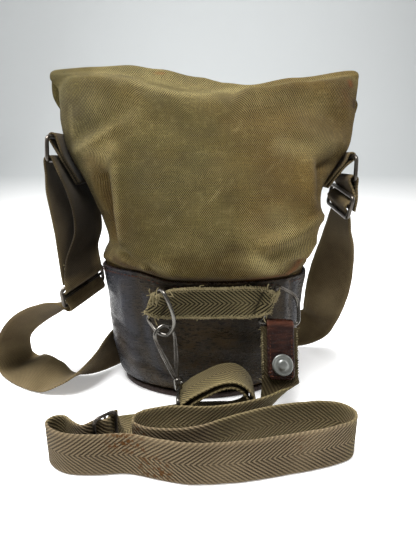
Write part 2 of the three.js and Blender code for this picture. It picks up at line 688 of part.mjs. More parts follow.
function frontBand() {
  const left = BAND_END_ROWS.map((r) => ({ ...r, x: BAND_LEFT_BAR + r.from }));
  const right = [...BAND_END_ROWS].reverse().map((r) => ({ ...r, x: BAND_RIGHT_BAR - r.from }));
  const middle = [-4, 6, 16].map((x) => ({ x, out: BAND_INNER, trimLow: 0, trimHigh: 0 }));
  const stations = [...left, ...middle, ...right].map((r) => {
    const low = frontWall(r.x - BAND_SHEAR, BAND_LOW, r.out);
    const high = frontWall(r.x + BAND_SHEAR, BAND_HIGH, r.out);
    const width = high.clone().sub(low).normalize();
    low.addScaledVector(width, r.trimLow);
    high.addScaledVector(width, -r.trimHigh);
    return { centre: low.clone().lerp(high, 0.5), span: low.distanceTo(high), width };
  });
  return outward(webbing(stations, BAND_HIGH - BAND_LOW, BAND_THICK));
}

// D-rings: the bar inside the band's end, then the bow's corners.
function barEnd(barX, z, out) {
  const slope = BAND_SHEAR / (0.5 * (BAND_HIGH - BAND_LOW));
  return frontWall(barX + (z - 0.5 * (BAND_HIGH + BAND_LOW)) * slope, z, out);
}
const LEFT_BOW = [v3(-28.5, -63.4, 99), v3(-21, -65, 79), v3(-26, -66, 66.5), v3(-35.5, -64.5, 69)];
const BOW_REACH = [3, 4, 7, 11, 8, 6];
const RIGHT_BOW = [v3(42, -54.6, 73), v3(74.8, -48.9, 69.1), v3(74.8, -42, 90)];
const RIGHT_REACH = [4, 3, 3.5, 4.5, 10];

function dRingLeft() {
  const corners = [
    barEnd(BAND_LEFT_BAR, BAND_LOW - 1.5, BAND_BAR_OUT),
    barEnd(BAND_LEFT_BAR, BAND_HIGH - 0.5, BAND_BAR_OUT),
    ...LEFT_BOW,
  ];
  return outward(wire(roundedLoop(corners, BOW_REACH, 3), WIRE, v3(0.2, -1, 0), true));
}

function dRingRight() {
  const corners = [
    barEnd(BAND_RIGHT_BAR, BAND_HIGH - 0.5, BAND_BAR_OUT),
    barEnd(BAND_RIGHT_BAR, BAND_LOW - 0.5, BAND_BAR_OUT),
    ...RIGHT_BOW,
  ];
  return outward(wire(roundedLoop(corners, RIGHT_REACH, 3), WIRE, v3(0.4, -1, 0), true));
}

// Leather tab folded over the right D-ring, with the end of the waist strap between its layers.
const TAB_TOP = v3(58.6, -51.6, 71);
const TAB_DOWN = v3(0.02, -0.3, -0.954).normalize();
const TAB_SIDE = v3(0.979, 0.172, -0.117).normalize();
const TAB_FACE = TAB_SIDE.clone().cross(TAB_DOWN).normalize().negate();
const TAB_ROWS = [
  { down: 20, face: -2.9 },
  { down: 10, face: -2.9 },
  { down: 3, face: -3.1 },
  { down: -1.4, face: -2.4 },
  { down: -2.9, face: 0 },
  { down: -1.4, face: 2.4 },
  { down: 3, face: 3.1 },
  { down: 10, face: 2.7 },
  { down: 24, face: 2.5 },
  { down: 40, face: 2.5 },
  { down: 43, face: 2.5 },
];

function onTab(down, face, side) {
  const p = TAB_TOP.clone().addScaledVector(TAB_DOWN, down).addScaledVector(TAB_FACE, face);
  return p.addScaledVector(TAB_SIDE, side);
}

function leatherTab() {
  const rows = TAB_ROWS.map((r) => {
    const p = onTab(r.down, r.face, 0);
    return { x: p.x, y: p.y, z: p.z, wx: TAB_SIDE.x, wy: TAB_SIDE.y, wz: TAB_SIDE.z };
  });
  const stations = stationsOf(rows);
  stations[stations.length - 1].span = TAB_WIDTH - 5;
  return outward(webbing(stations, TAB_WIDTH, TAB_THICK));
}

// Stud: radius and height of the cap's profile above the tab.
const STUD_ROWS = [
  { radius: STUD_RADIUS - 0.8, height: 0 },
  { radius: STUD_RADIUS, height: 0.8 },
  { radius: STUD_RADIUS, height: 1.6 },
  { radius: STUD_RADIUS - 0.7, height: 2.4 },
  { radius: STUD_RADIUS - 1.5, height: 2.4 },
  { radius: STUD_RADIUS - 2.2, height: 1.9 },
  { radius: STUD_RADIUS - 4.2, height: 2.1 },
  { radius: STUD_RADIUS - 5, height: 2.9 },
  { radius: STUD_RADIUS - 6.6, height: 3.4 },
];
const STUD_DOWN = 31.5;

function snapStud() {
  const face = 2.5 + TAB_THICK / 2 + GAP;
  const sideways = TAB_FACE.clone().cross(TAB_DOWN).normalize();
  const rings = STUD_ROWS.map((r) => Array.from({ length: 20 }, (_, k) => {
    const angle = (k / 20) * Math.PI * 2;
    const p = onTab(STUD_DOWN + r.radius * Math.cos(angle), face + r.height, 0.4);
    return p.addScaledVector(sideways, r.radius * Math.sin(angle));
  }));
  return outward(solid(rings));
}

// Snap hook: teardrop of wire from the collar up round the D-ring, and a wide eye for the strap.
const HOOK_LOOP = [
  v3(-20.6, -72.2, 32),
  v3(-33.5, -68.5, 58),
  v3(-38, -69.5, 70.5),
  v3(-29.5, -63.2, 76.2),
  v3(-22.5, -61.4, 69),
  v3(-21.2, -66, 50),
];
const HOOK_COLLAR = [v3(-20.8, -71.8, 35), v3(-19.2, -73, 25.6)];
const EYE_HALF = 17.5;
const EYE_BAR = { x: -17.4, y: -73.5, z: 17.5 };

function snapHook() {
  const facing = v3(0.55, -0.8, 0.2).normalize();
  const loop = wire(roundedLoop(HOOK_LOOP, 7, 4), WIRE, facing, true);
  const collar = wire(HOOK_COLLAR, 3, v3(1, 0, 0), false, 10);
  const eye = [
    v3(-19, EYE_BAR.y - EYE_HALF, 27),
    v3(EYE_BAR.x, EYE_BAR.y - EYE_HALF, EYE_BAR.z),
    v3(EYE_BAR.x, EYE_BAR.y + EYE_HALF, EYE_BAR.z),
    v3(-19, EYE_BAR.y + EYE_HALF, 27),
  ];
  const eyeLoop = wire(roundedLoop(eye, 3, 3), WIRE - 0.1, v3(1, 0, 0.2), true);
  return joined([loop, collar, eyeLoop]);
}

// Waist strap: from between the tab's layers down to the floor and along it on edge.
const DROP_ROWS = [
  { down: 5.5, face: 0 },
  { down: 20, face: -0.1 },
  { down: 40.5, face: 0 },
];
const TWIST_ROWS = [
  { x: 59.4, y: -66.6, z: 25, wx: 0.97, wy: 0.12, wz: 0.1 },
  { x: 55.5, y: -72.5, z: 18, wx: 0.78, wy: 0.08, wz: 0.58 },
  { x: 50, y: -80.5, z: 16, wx: 0.5, wy: 0.05, wz: 0.87 },
  { x: 40, y: -91, z: 15.6, wx: 0.2, wy: 0, wz: 0.98 },
];
const EDGE_ROWS = [
  { x: 24, y: -98.5 },
  { x: 4, y: -102.5 },
  { x: -24, y: -102 },
  { x: -38, y: -105.5 },
  { x: -46, y: -111.5 },
  { x: -46, y: -119.5 },
  { x: -38, y: -125 },
  { x: -24, y: -127.5 },
  { x: -6, y: -125.5 },
  { x: 24, y: -111 },
  { x: 46, y: -102.5 },
  { x: 72, y: -97 },
  { x: 89, y: -96 },
  { x: 99, y: -100 },
  { x: 103.5, y: -108 },
  { x: 100, y: -117 },
  { x: 86, y: -124.5 },
  { x: 53, y: -133.5 },
  { x: 20, y: -140 },
  { x: -8, y: -141.5 },
  { x: -26, y: -138 },
  { x: -49, y: -132.5 },
  { x: -70, y: -133.5 },
  { x: -88, y: -132 },
  { x: -98, y: -126.5 },
  { x: -103, y: -119.5 },
  { x: -100, y: -113.5 },
  { x: -93.5, y: -113 },
  { x: -87, y: -118.5 },
  { x: -79, y: -123.5 },
];
const EDGE_MIDDLE = WAIST_WIDTH / 2 + 0.4;
const WAIST_SLIDER = { centre: [-64.5, -119, 17.9], across: [0, 0, 1], along: [0.72, 0.7, 0] };

// Doubled end: the middle line from the slider to the hook's eye, and half the layers' distance.
const CORE_ROWS = [
  { x: -55.5, y: -101.5, z: 9.8, wx: -0.62, wy: 0.64, wz: 0.45, half: 1.6 },
  { x: -50, y: -92, z: 7.2, wx: -0.7, wy: 0.65, wz: 0.22, half: 1.6 },
  { x: -38, y: -84.5, z: 5, wx: -0.5, wy: 0.86, wz: 0.05, half: 1.8 },
  { x: -22, y: -78.5, z: 4.4, wx: -0.2, wy: 0.98, wz: 0, half: 2 },
  { x: -6, y: -74.8, z: 4.2, wx: 0, wy: 1, wz: 0, half: 2.1 },
  { x: 10, y: -73.5, z: 4, wx: 0, wy: 1, wz: 0, half: 2.1 },
  { x: 24, y: -73.5, z: 4.4, wx: 0, wy: 1, wz: 0, half: 2.1 },
  { x: 33, y: -73.5, z: 9, wx: 0, wy: 1, wz: 0, half: 2.2 },
  { x: 36, y: -73.5, z: 19.5, wx: 0, wy: 1, wz: 0, half: 2.3 },
  { x: 32, y: -73.5, z: 31, wx: 0, wy: 1, wz: 0, half: 2.3 },
  { x: 23.5, y: -73.5, z: 37.5, wx: 0, wy: 1, wz: 0, half: 2.3 },
  { x: 13, y: -73.5, z: 36.8, wx: 0, wy: 1, wz: 0, half: 2.3 },
  { x: 1, y: -73.5, z: 31, wx: 0, wy: 1, wz: 0, half: 2.4 },
  { x: -9, y: -73.5, z: 25, wx: 0, wy: 1, wz: 0, half: 2.6 },
];

function waistStrap() {
  const drop = DROP_ROWS.map((r) => {
    const p = onTab(r.down, r.face, 0);
    return { x: p.x, y: p.y, z: p.z, wx: TAB_SIDE.x, wy: TAB_SIDE.y, wz: TAB_SIDE.z };
  });
  const edge = EDGE_ROWS.map((r) => ({ x: r.x, y: r.y, z: EDGE_MIDDLE, wx: 0, wy: 0, wz: 1 }));
  const weave = woven(WAIST_SLIDER, 0.8, -1, 1.1 + GAP + WAIST_THICK / 2);
  const core = stationsOf(CORE_ROWS);
  const along = headings(core);
  const layer = (sign) => core.map((s, i) => {
    const place = i / (core.length - 1);
    const row = Math.min(CORE_ROWS.length - 1, Math.round(place * (CORE_ROWS.length - 1)));
    const face = along[i].clone().cross(s.width).normalize();
    const centre = s.centre.clone().addScaledVector(face, sign * CORE_ROWS[row].half);
    return { centre, width: s.width.clone() };
  });
  const bar = { ...EYE_BAR, wx: 0, wy: 1, wz: 0 };
  const round = roundBar(bar, WIRE - 0.1 + GAP + WAIST_THICK / 2, 130, 310, 6);
  const turned = round.map((r) => ({ centre: v3(r.x, r.y, r.z), width: v3(0, 1, 0) }));
  const first = stationsOf([...drop, ...TWIST_ROWS, ...edge, ...weave]);
  const stations = [...first, ...layer(-1), ...turned, ...layer(1).reverse().slice(0, -3)];
  return outward(webbing(stations, WAIST_WIDTH, WAIST_THICK));
}

// Colours and surfaces, node by node.
const FINISH = {
  canvas: { color: 0x7a6a43, roughness: 0.92, metalness: 0 },
  leather: { color: 0x2f2b2d, roughness: 0.55, metalness: 0 },
  sole: { color: 0x2b2526, roughness: 0.6, metalness: 0 },
  webbing: { color: 0x6d6343, roughness: 0.9, metalness: 0 },
  strap: { color: 0x5a4f3b, roughness: 0.9, metalness: 0 },
  band: { color: 0x5e5334, roughness: 0.9, metalness: 0 },
  tab: { color: 0x3d1d18, roughness: 0.35, metalness: 0 },
  steel: { color: 0x8c8d8c, roughness: 0.35, metalness: 1 },
  dark: { color: 0x4a4844, roughness: 0.45, metalness: 1 },
  zinc: { color: 0x9aa09c, roughness: 0.45, metalness: 1 },
};

const PIECES = [
  { name: 'canvas_body', finish: 'canvas', make: canvasBody },
  { name: 'leather_base', finish: 'leather', make: leatherBase },
  { name: 'leather_sole', finish: 'sole', make: leatherSole },
  { name: 'front_band', finish: 'band', make: frontBand },
  { name: 'd_ring_left', finish: 'steel', make: dRingLeft },
  { name: 'd_ring_right', finish: 'steel', make: dRingRight },
  { name: 'snap_hook', finish: 'steel', make: snapHook },
  { name: 'leather_tab', finish: 'tab', make: leatherTab },
  { name: 'snap_stud', finish: 'zinc', make: snapStud },
  { name: 'waist_strap', finish: 'webbing', make: waistStrap },
  { name: 'waist_slider', finish: 'dark', make: () => slider(WAIST_SLIDER, 16.6, 8, 1.1) },
  { name: 'side_tab_left', finish: 'strap', make: () => sideTab(RING_LEFT, SIDE_TAB_LEFT) },
  { name: 'side_tab_right', finish: 'strap', make: () => sideTab(RING_RIGHT, SIDE_TAB_RIGHT) },
  { name: 'side_ring_left', finish: 'dark', make: () => sideRing(RING_LEFT) },
  { name: 'side_ring_right', finish: 'dark', make: () => sideRing(RING_RIGHT) },
  { name: 'shoulder_strap', finish: 'strap', make: shoulderStrap },
  { name: 'strap_slider_left', finish: 'dark', make: () => slider(LEFT_SLIDER, 23, 8.5, 1.6) },
  { name: 'strap_slider_right', finish: 'dark', make: () => slider(RIGHT_SLIDER, 23, 8.5, 1.6) },
];

const bag = new THREE.Group();
bag.name = 'gas_mask_bag';
PIECES.forEach(({ name, finish, make }) => {
  const mesh = new THREE.Mesh(outward(make()), new THREE.MeshStandardMaterial(FINISH[finish]));
  mesh.name = name;
  bag.add(mesh);
});

export default bag;
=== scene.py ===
"""Gas mask bag: a canvas sack in a leather base, with straps, rings, hook, tab and stud."""
import math

import bpy
import numpy as np
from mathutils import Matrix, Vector


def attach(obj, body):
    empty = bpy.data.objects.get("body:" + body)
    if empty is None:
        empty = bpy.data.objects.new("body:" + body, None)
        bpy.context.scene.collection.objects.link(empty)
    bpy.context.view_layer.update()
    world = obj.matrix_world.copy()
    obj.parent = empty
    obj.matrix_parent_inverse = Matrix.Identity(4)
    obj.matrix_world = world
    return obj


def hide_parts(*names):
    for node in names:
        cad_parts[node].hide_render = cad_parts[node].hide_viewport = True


bl_info = {
    "name": "Gas mask bag",
    "version": (1, 0, 0),
    "blender": (4, 5, 0),
    "location": "View3D > Sidebar > Bag",
    "description": "Dresses the packed gas mask bag with cloth, leather, webbing and metal pieces",
    "category": "Object",
}

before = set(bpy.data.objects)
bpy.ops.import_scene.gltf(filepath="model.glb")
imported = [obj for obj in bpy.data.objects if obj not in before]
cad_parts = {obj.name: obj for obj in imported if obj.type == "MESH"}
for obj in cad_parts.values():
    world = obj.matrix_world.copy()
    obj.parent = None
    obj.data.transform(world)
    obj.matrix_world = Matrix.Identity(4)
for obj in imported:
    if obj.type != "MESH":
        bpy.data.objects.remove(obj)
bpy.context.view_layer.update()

# Lengths in the tables and functions are millimetres, and MM turns them into metres.
MM = 0.001
# Play between pieces, points round a ring, power of the ovals, middle height of the leather rim.
GAP, AROUND, OVAL_POWER, RIM_NOMINAL = 0.3, 192, 2.15, 105.0
# Radius of the wire of the D-rings and hook, of the side rings and of the hook's eye.
WIRE = 1.5
RING_WIRE, EYE_WIRE = WIRE + 0.1, WIRE - 0.1
# Step along a strap, half the thickness of the shoulder and the waist webbing where they turn round a bar.
FINE_STEP, SHOULDER_HALF, WAIST_HALF = 2.6, 0.9, 0.85

# Oval base: height, half width, half depth.
BASE_ROWS = [
    (0, 77.5, 46.5), (20, 80.5, 49.5), (45, 82.8, 52), (75, 85, 53.8), (115, 88.5, 55.2),
]
# Azimuth round the bag (270 is the front) and height of the leather rim there.
RIM_ROWS = [
    (0, 104), (90, 107), (180, 109), (205, 111.5), (219, 111.5), (246, 105.5), (290, 105), (360, 104),
]
# Canvas sections from the seam up: height, front depth, front right corner, right side, back depth,
# front left corner, left side, then how far the row follows the rim, the crease and the ridge.
SACK_ROWS = [
    (107.6, -54.5, 62, -41, 86, -3, 54.5, -62, -41, -86, -3, 1, 0, 0),
    (111, -57.5, 66, -43, 88, -3, 57.5, -65, -43.5, -88.5, -2, 1, 0, 0),
    (118, -60, 69, -46, 89.5, -4, 60, -64, -46, -87, 0, 0.7, 0, 0),
    (127, -60.5, 77, -45, 91, -5, 60, -65, -46.5, -84, 4, 0.4, 0, 0),
    (142, -58, 86, -42, 91.5, -2, 58, -67, -44, -87, 8, 0.15, 0, 0),
    (160, -52.5, 89, -38, 93, 1, 54, -69, -40, -93.5, 9, 0, 0, 0),
    (177, -46, 90, -33, 98, 5, 48.5, -72, -35.5, -100.5, 10, 0, 0, 0),
    (192, -39, 92, -25, 111, 8, 43, -80, -28, -109, 10, 0, 0, 0),
    (206, -32, 94, -16, 120, 9, 37.5, -87, -20, -115, 11, 0, 0.1, 0),
    (221, -23.5, 96, -8, 122.5, 11, 32, -93, -10, -120, 12, 0, 0.4, 0.2),
    (236, -15, 98, 0, 124, 12.5, 27, -97, -1, -122, 13, 0, 1, 0.4),
    (246, 0.5, 101, 9, 125, 14.5, 22.5, -100, 9, -124, 14.5, 0, 0.6, 0.8),
]
# Top fold: turn of the flattened mouth in degrees, drop of the flap, half width, flare at the right.
FOLD_ROWS = [
    (180, 0, 125.5, 0), (150, 0, 126, 0), (115, 0, 126, 0), (80, 0, 126.5, 0), (45, 0, 127.5, 0),
    (5, 0, 129, 0), (-6, 8, 129, -1), (-6, 16, 126.5, 4.5), (-6, 24, 122, 8),
]
FOLD_Y, FOLD_Z, FOLD_RADIUS, MOUTH_HALF = 21.6, 253.0, 6.2, 2.7
# Rows of the sack tucked into the base, their inset, the row of the crest, distance of the gathers in metres.
TUCK_ROWS = 2
TUCK = 2.5 + GAP
CREST = TUCK_ROWS + len(SACK_ROWS) - 1
GATHER_PITCH = 0.0105
# Across the width: place, lift of the top ridge, lift of the crease in front of it.
CREST_ROWS = [
    (-128, 5, 19), (-88, 6.5, 18.5), (-62, 7.5, 11.5), (-38, 4.5, 2.8), (-5, -1.5, -2.5),
    (18, -6, 1), (36, -7.5, 11), (75, -1.8, 16), (128, 4.8, 20),
]
# Hollows pressed into the sack: azimuth, height, depth, reach round, reach up.
DENT_ROWS = [
    (199, 150, 7, 13, 27), (348, 158, 3, 12, 24), (347, 115, 3, 7, 5), (312, 121, 2.5, 6, 9),
    (299, 132, -2, 5, 12), (250, 196, 2.5, 11, 14), (285, 178, -2, 12, 16), (95, 165, 3, 22, 26),
]
# Folds on the front of the sack: from x, z to x, z, height, reach.
FRONT_FOLDS = [
    (-68, 194, -66, 184, 3.6, 4.5), (-66, 184, -63, 137, 4.2, 4.5), (-79, 182, -70, 136, -8.0, 6),
    (-92, 202, -68, 196, 2.2, 6.5), (106, 199, 91, 192, -6.5, 5), (90, 191, 88, 168, -4.0, 4.5),
    (80, 191, 80, 164, 2.6, 5.5), (59, 232, 83, 234, -2.2, 9), (83, 234, 103, 226, -2.6, 9),
    (72, 216, 107, 203, 3.2, 8), (88, 153, 67, 141, 4.2, 4.4), (67, 141, 46, 134, 3.6, 4.4),
    (70, 134, 52, 128, -1.8, 4.6), (64, 119, 76, 117, -4.6, 3.0), (38, 121, 52, 118, 3.4, 6),
    (84, 134, 80, 122, 2.8, 3.2), (56, 114, 66, 110, 2.2, 2.4), (-101, 201, -71, 216, 2.2, 4.5),
    (-96, 214, -60, 232, -2.4, 7), (-54, 121, -40, 114, 2.8, 3.2), (-33, 122, -24, 113, 2.6, 2.8),
    (-61, 127, -48, 118, -3.0, 3.4), (-42, 118, -37, 111, -3.4, 3.0), (4, 122, 8, 112, 1.4, 4),
    (22, 131, 27, 113, -1.8, 5), (-20, 205, 30, 198, -1.4, 12), (-40, 170, 6, 150, 1.6, 11),
    (20, 160, 58, 142, -1.8, 9), (-58, 146, -30, 132, -1.6, 7), (-82, 259, -54, 252, 1.5, 3),
    (-54, 252, -21, 242, 1.6, 3), (-21, 242, 3, 243, 1.6, 3), (3, 243, 32, 251, 1.4, 3),
    (-50, 196, -46, 150, -1.2, 9), (44, 206, 50, 168, -1.2, 9),
]
# Folds on the back of the sack, likewise.
BACK_FOLDS = [
    (-40, 205, 20, 190, -1.8, 9), (30, 175, 70, 150, 1.6, 8), (-70, 160, -20, 140, -1.6, 8),
    (-10, 130, 15, 116, 1.3, 6), (50, 130, 58, 114, -1.4, 5), (-58, 128, -50, 114, 1.4, 5),
]
# Pale wear on the front of the sack, with painted light over broad fields of it: from x, z to x, z, amount,
# reach.
CANVAS_WEAR_AND_LIGHT = [
    (-84, 260, -54, 253, 0.34, 3.0), (-54, 252, -21, 243, 0.42, 2.6), (-21, 243, 3, 244, 0.40, 2.6),
    (3, 244, 34, 252, 0.30, 2.6), (34, 252, 102, 259, 0.20, 3), (-101, 201, -71, 217, 0.45, 2.2),
    (-66, 190, -64, 137, 0.35, 2.2), (4, 166, 20, 180, 0.45, 0.9), (25, 216, 26, 219, 0.9, 0.9),
    (38, 123, 50, 116, 0.95, 7), (-106, 233, -105, 214, 0.4, 1.8), (74, 213, 100, 205, 0.26, 8),
    (-46, 117, -26, 118, 0.4, 4), (30, 226, 60, 214, 0.14, 14), (87, 152, 50, 135, 0.34, 3),
    (-30, 180, 30, 160, 0.10, 26), (-29, 117, -27, 119, 0.7, 1.2), (30, 124, 62, 120, 0.45, 9),
    (54, 150, 68, 132, 0.62, 12), (34, 237, 92, 236, 0.30, 9), (58, 206, 98, 202, 0.50, 8),
    (-84, 236, -54, 230, 0.22, 10), (-86, 226, -60, 238, 0.25, 1.2), (-30, 150, -4, 172, 0.25, 0.8),
    (46, 186, 60, 196, 0.25, 0.8), (-100, 180, -70, 206, 0.3, 6), (-94, 200, -76, 196, 0.25, 7),
    (-14, 138, 66, 134, 0.17, 13), (40, 148, 72, 126, 0.34, 12), (-26, 214, -14, 208, 0.12, 10),
]
# Brown stains on the sack, and painted shade in its left hollow and under its right wing, likewise.
CANVAS_STAINS_AND_SHADE = [
    (-76, 170, -71, 140, 0.55, 6), (-73, 166, -70, 146, 0.6, 5), (46, 153, 74, 156, 0.08, 14),
    (117, 254, 118, 252, 1.0, 2.2), (75, 117, 60, 108, 0.8, 4), (60, 108, 30, 105.5, 0.8, 3),
    (-70, 120, -46, 111, 0.8, 3.5), (-42, 115, -37, 111, 0.9, 2.8), (-46, 111, 30, 105.5, 0.6, 2.4),
    (20, 133, 27, 130, 0.45, 6), (88, 190, 86, 150, 0.30, 7), (-90, 190, -110, 215, 0.15, 10),
    (121, 240, 122, 236, 1.0, 2.0), (98, 198, 90, 190, 0.45, 5), (-20, 128, 20, 126, 0.18, 12),
]
# Browner fields on the sack, likewise.
CANVAS_BROWN = [
    (-84, 188, -74, 142, 1.3, 10), (48, 154, 56, 126, 0.7, 10),
]
# Painted shade on the front of the sack, likewise.
CANVAS_PAINTED_SHADE = [
    (-52, 178, -50, 146, 0.58, 14), (-40, 126, -4, 122, 0.22, 9), (6, 112, 16, 112, 0.4, 6),
    (-14, 186, -18, 168, 0.30, 14), (24, 182, 34, 168, 0.15, 10), (-108, 236, -86, 222, 0.40, 10),
    (-46, 182, -4, 174, 0.40, 10),
]
# Rusty spots on the sack, likewise.
CANVAS_RUST = [
    (117, 255, 118, 252, 1.0, 1.8), (-38, 262, -34, 262, 0.6, 1.4), (82, 120, 64, 109, 0.7, 2.6),
    (64, 109, 34, 105.5, 0.5, 2.0), (112, 246, 114, 240, 0.25, 4),
]
# Creases of the leather on its front: from x, z to x, z, height, reach.
LEATHER_FOLDS = [
    (-80, 66, -56, 55, -1.6, 2.2), (-78, 58, -50, 49, 1.3, 2.4), (-79, 50, -54, 42, -1.5, 2.2),
    (-78, 43, -60, 36, 1.2, 2.2), (-66, 100, -58, 22, 2.0, 6), (-52, 96, -46, 60, -1.2, 5),
    (-60, 32, -30, 22, -1.2, 2.6), (-56, 25, -26, 17, 1.0, 2.4), (-46, 62, -20, 56, -0.8, 3),
    (-40, 52, -10, 47, 0.7, 3), (64, 102, 68, 60, 1.4, 4), (70, 102, 74, 60, -1.8, 2.6),
    (40, 30, 66, 22, -1.0, 3), (-20, 40, 30, 34, -0.9, 4), (-30, 30, 20, 24, 0.7, 3),
    (-80, 92, -62, 84, 1.0, 4), (10, 62, 44, 55, -0.8, 3), (0, 70, 36, 64, 0.6, 3),
    (8, 50, 40, 44, 0.6, 3),
]
# Pale sheen on the leather: from x, z to x, z, amount, reach.
LEATHER_SHEEN = [
    (-46, 92, -46, 58, 0.60, 3.6), (-45, 56, -38, 28, 0.60, 4.5), (-37, 26, -31, 18, 0.40, 4),
    (66, 100, 67, 60, 0.35, 2.2), (74, 100, 77, 58, 0.55, 3.0), (-70, 66, -56, 60, 0.35, 5),
    (-30, 20, 20, 16, 0.20, 5),
]
# Brown fields on the leather, likewise.
LEATHER_BROWN = [
    (-74, 56, -64, 28, 0.55, 7), (-14, 66, 20, 58, 0.30, 12), (-14, 44, 20, 36, 0.20, 9),
    (30, 40, 44, 20, 0.35, 10), (-60, 24, -30, 14, 0.3, 6),
]
# Painted shade on the leather: near black bands of dark reflection and the shadow under the canvas's rim,
# likewise.
LEATHER_PAINTED_SHADE = [
    (-36, 84, -30, 38, 0.80, 5), (-25, 84, -22, 16, 0.70, 4), (30, 84, 34, 18, 0.85, 8),
    (-45, 104, 45, 100, 0.9, 2.4), (-52, 40, -46, 16, 0.5, 4), (44, 70, 48, 20, 0.6, 6),
]

# Foot of the leather cup: height, inset, power of the oval.
FOOT_ROWS = [
    (5.4, 12, 1.80), (5.7, 5.6, 1.80), (7.4, 2.8, 1.82), (13, 1.2, 1.88), (25, 0.4, 1.98), (35, 0, 2.06),
]
# Sole: height, inset, wear; then its half width, half depth and power.
SOLE_ROWS = [
    (0, 3.5, 0.2), (0, 1.3, 0.3), (0.3, 0.5, 0.6), (0.9, 0.05, 0.9), (1.6, 0, 0.9), (3.4, 0, 0.9),
    (4.3, 0.15, 0.8), (4.8, 0.6, 0.5), (5.0, 1.6, 0.1),
]
SOLE_WIDE, SOLE_DEEP, SOLE_POWER = 74, 45.6, 1.80

# Webbing from edge to edge: place across, fullness there; then both faces as one ring, and its edges.
ACROSS = np.array([-1, -0.985, -0.93, -0.75, -0.4, 0, 0.4, 0.75, 0.93, 0.985, 1])
FULLNESS = np.array([0.35, 0.78, 1.08, 0.96, 1, 1, 1, 0.96, 1.08, 0.78, 0.35])
SIDES = np.concatenate([ACROSS, ACROSS[::-1]])
RISES = np.concatenate([-FULLNESS, FULLNESS[::-1]])
SELVEDGE = np.abs(SIDES) > 0.9
# Runs of the shoulder strap, from its left end: x, y, z and the direction of the width.
LEFT_OUTER = [
    (-106, -12, 100.5, 0.48, 0.84, 0.25), (-108.6, -10.5, 112, 0.41, 0.88, 0.18),
    (-114, -5, 136, 0.28, 0.96, 0), (-123.6, 2, 172, 0.1, 0.99, 0), (-126, 5, 186, 0, 1, 0),
]
LEFT_INNER = [
    (-113, 4, 182, 0.05, 1, 0), (-102.5, 1, 164, 0.26, 0.97, 0), (-98.5, -3, 138, 0.3, 0.95, 0),
    (-103, -11, 119, 0.42, 0.88, 0.18),
]
LEFT_ARCH = [
    (-119, -9, 75, 0.2, 0.93, -0.2), (-134, -12, 69.5, -0.05, 0.83, -0.5),
    (-154, -7, 58.5, -0.08, 0.74, -0.67), (-168, 0, 47, 0.05, 0.71, -0.7),
    (-179, 7.5, 31, 0.32, 0.75, -0.57), (-184, 12, 16, 0.5, 0.78, -0.36), (-181, 13, 4, 0.62, 0.78, -0.02),
]
FLOOR_RUN = [
    (-166, -2, 6.5, 0.48, 0.84, 0.25), (-151, -13, 8, 0.27, 0.91, 0.32), (-138, -18, 6, 0.18, 0.96, 0.2),
    (-124, -22, 6.5, -0.05, 0.97, -0.22), (-112, -23, 11, -0.18, 0.86, -0.46),
    (-100, -16, 17, -0.25, 0.6, -0.76), (-92, -3, 20.5, -0.13, 0.34, -0.93),
]
BACK_RUN = [
    (-84.5, 14, 21.5, 0, 0.1, -0.99), (-75, 32, 21.5, 0, 0, -1), (-57, 46, 21.5, 0, 0, -1),
    (-30, 53.5, 21.5, 0, 0, -1), (0, 55.5, 21.5, 0, 0, -1), (38, 54.5, 21.5, 0, 0, -1),
    (72, 54, 21.5, 0.05, 0, -1),
]
RIGHT_RISE = [
    (101, 55.5, 22, 0.23, 0.02, -0.97), (115, 55, 28, 0.66, 0.02, -0.75), (117.5, 44, 44, 0.87, 0.02, -0.5),
    (118, 31, 68.5, 0.93, -0.2, -0.3), (118.5, 20, 100, 0.72, -0.68, -0.14),
    (118.5, 11, 126, 0.42, -0.90, -0.12), (116.5, 5, 141, 0.2, -0.97, -0.12),
]
RIGHT_OUTER = [
    (121.7, 3, 174, 0, -1, 0), (121.2, 1.5, 167, 0.05, -0.99, -0.1), (119.2, 0.5, 158, 0.09, -0.98, -0.18),
]
# Side rings: x, y, top bar, lower bar, lean.
RING_LEFT = (-121, 5, 212, 194, -1.5)
RING_RIGHT = (118.5, 4, 197, 179, 0.5)
RING_HALF = 23
# Side tabs: inner rows of x, z, the turn round the ring's bar, outer rows; then their place and thickness.
SIDE_TAB_LEFT = ([(-102.2, 176), (-107.6, 186), (-114, 198)], (40, 215),
                 [(-116.6, 197.4), (-110, 185.4), (-104.6, 175)])
SIDE_TAB_RIGHT = ([(98.6, 174), (106.4, 184), (113.4, 192.6)], (136, -42),
                  [(114.4, 189.8), (108.8, 182.8), (101, 172.6)])
SIDE_TAB_BACK, SIDE_TAB_THICK = 3.5, 1.8
# Sliders: centre, direction across the strap, direction along it, half sizes, wire radius.
LEFT_SLIDER = ((-104, -13.5, 91), (0.53, 0.8, 0.28), (-0.03, 0.35, -0.94), 23, 8.5, 1.6)
RIGHT_SLIDER = ((114, 0, 161.5), (0.09, -0.98, -0.18), (0.1, 0.1, 1), 23, 8.5, 1.6)
WAIST_SLIDER = ((-64.5, -119, 17.9), (0, 0, 1), (0.72, 0.7, 0), 16.6, 8, 1.1)
# Way of a strap through a slider: place along it, side of the slider's face.
WEAVE_ROWS = [(-13, -1), (-7.5, -1), (0, 1), (7.5, -1), (13, -1)]

# Front band: its lower and upper edge, slant, thickness, distance from the wall, turn round the ring bars,
# distance of the bars from the wall, their x, and the distance from each end of the painted shadow line at
# the edge of each folded end.
BAND_LOW, BAND_HIGH, BAND_SHEAR, BAND_THICK = 77.0, 102.0, 5.0, 1.8
BAND_INNER = 1.9
BAND_TURN = WIRE + 2 * GAP + BAND_THICK / 2
BAND_BAR = BAND_INNER + BAND_TURN
BAND_LEFT_BAR, BAND_RIGHT_BAR = -38.5, 51.5
BAND_SHADOW_LINE = 35.5
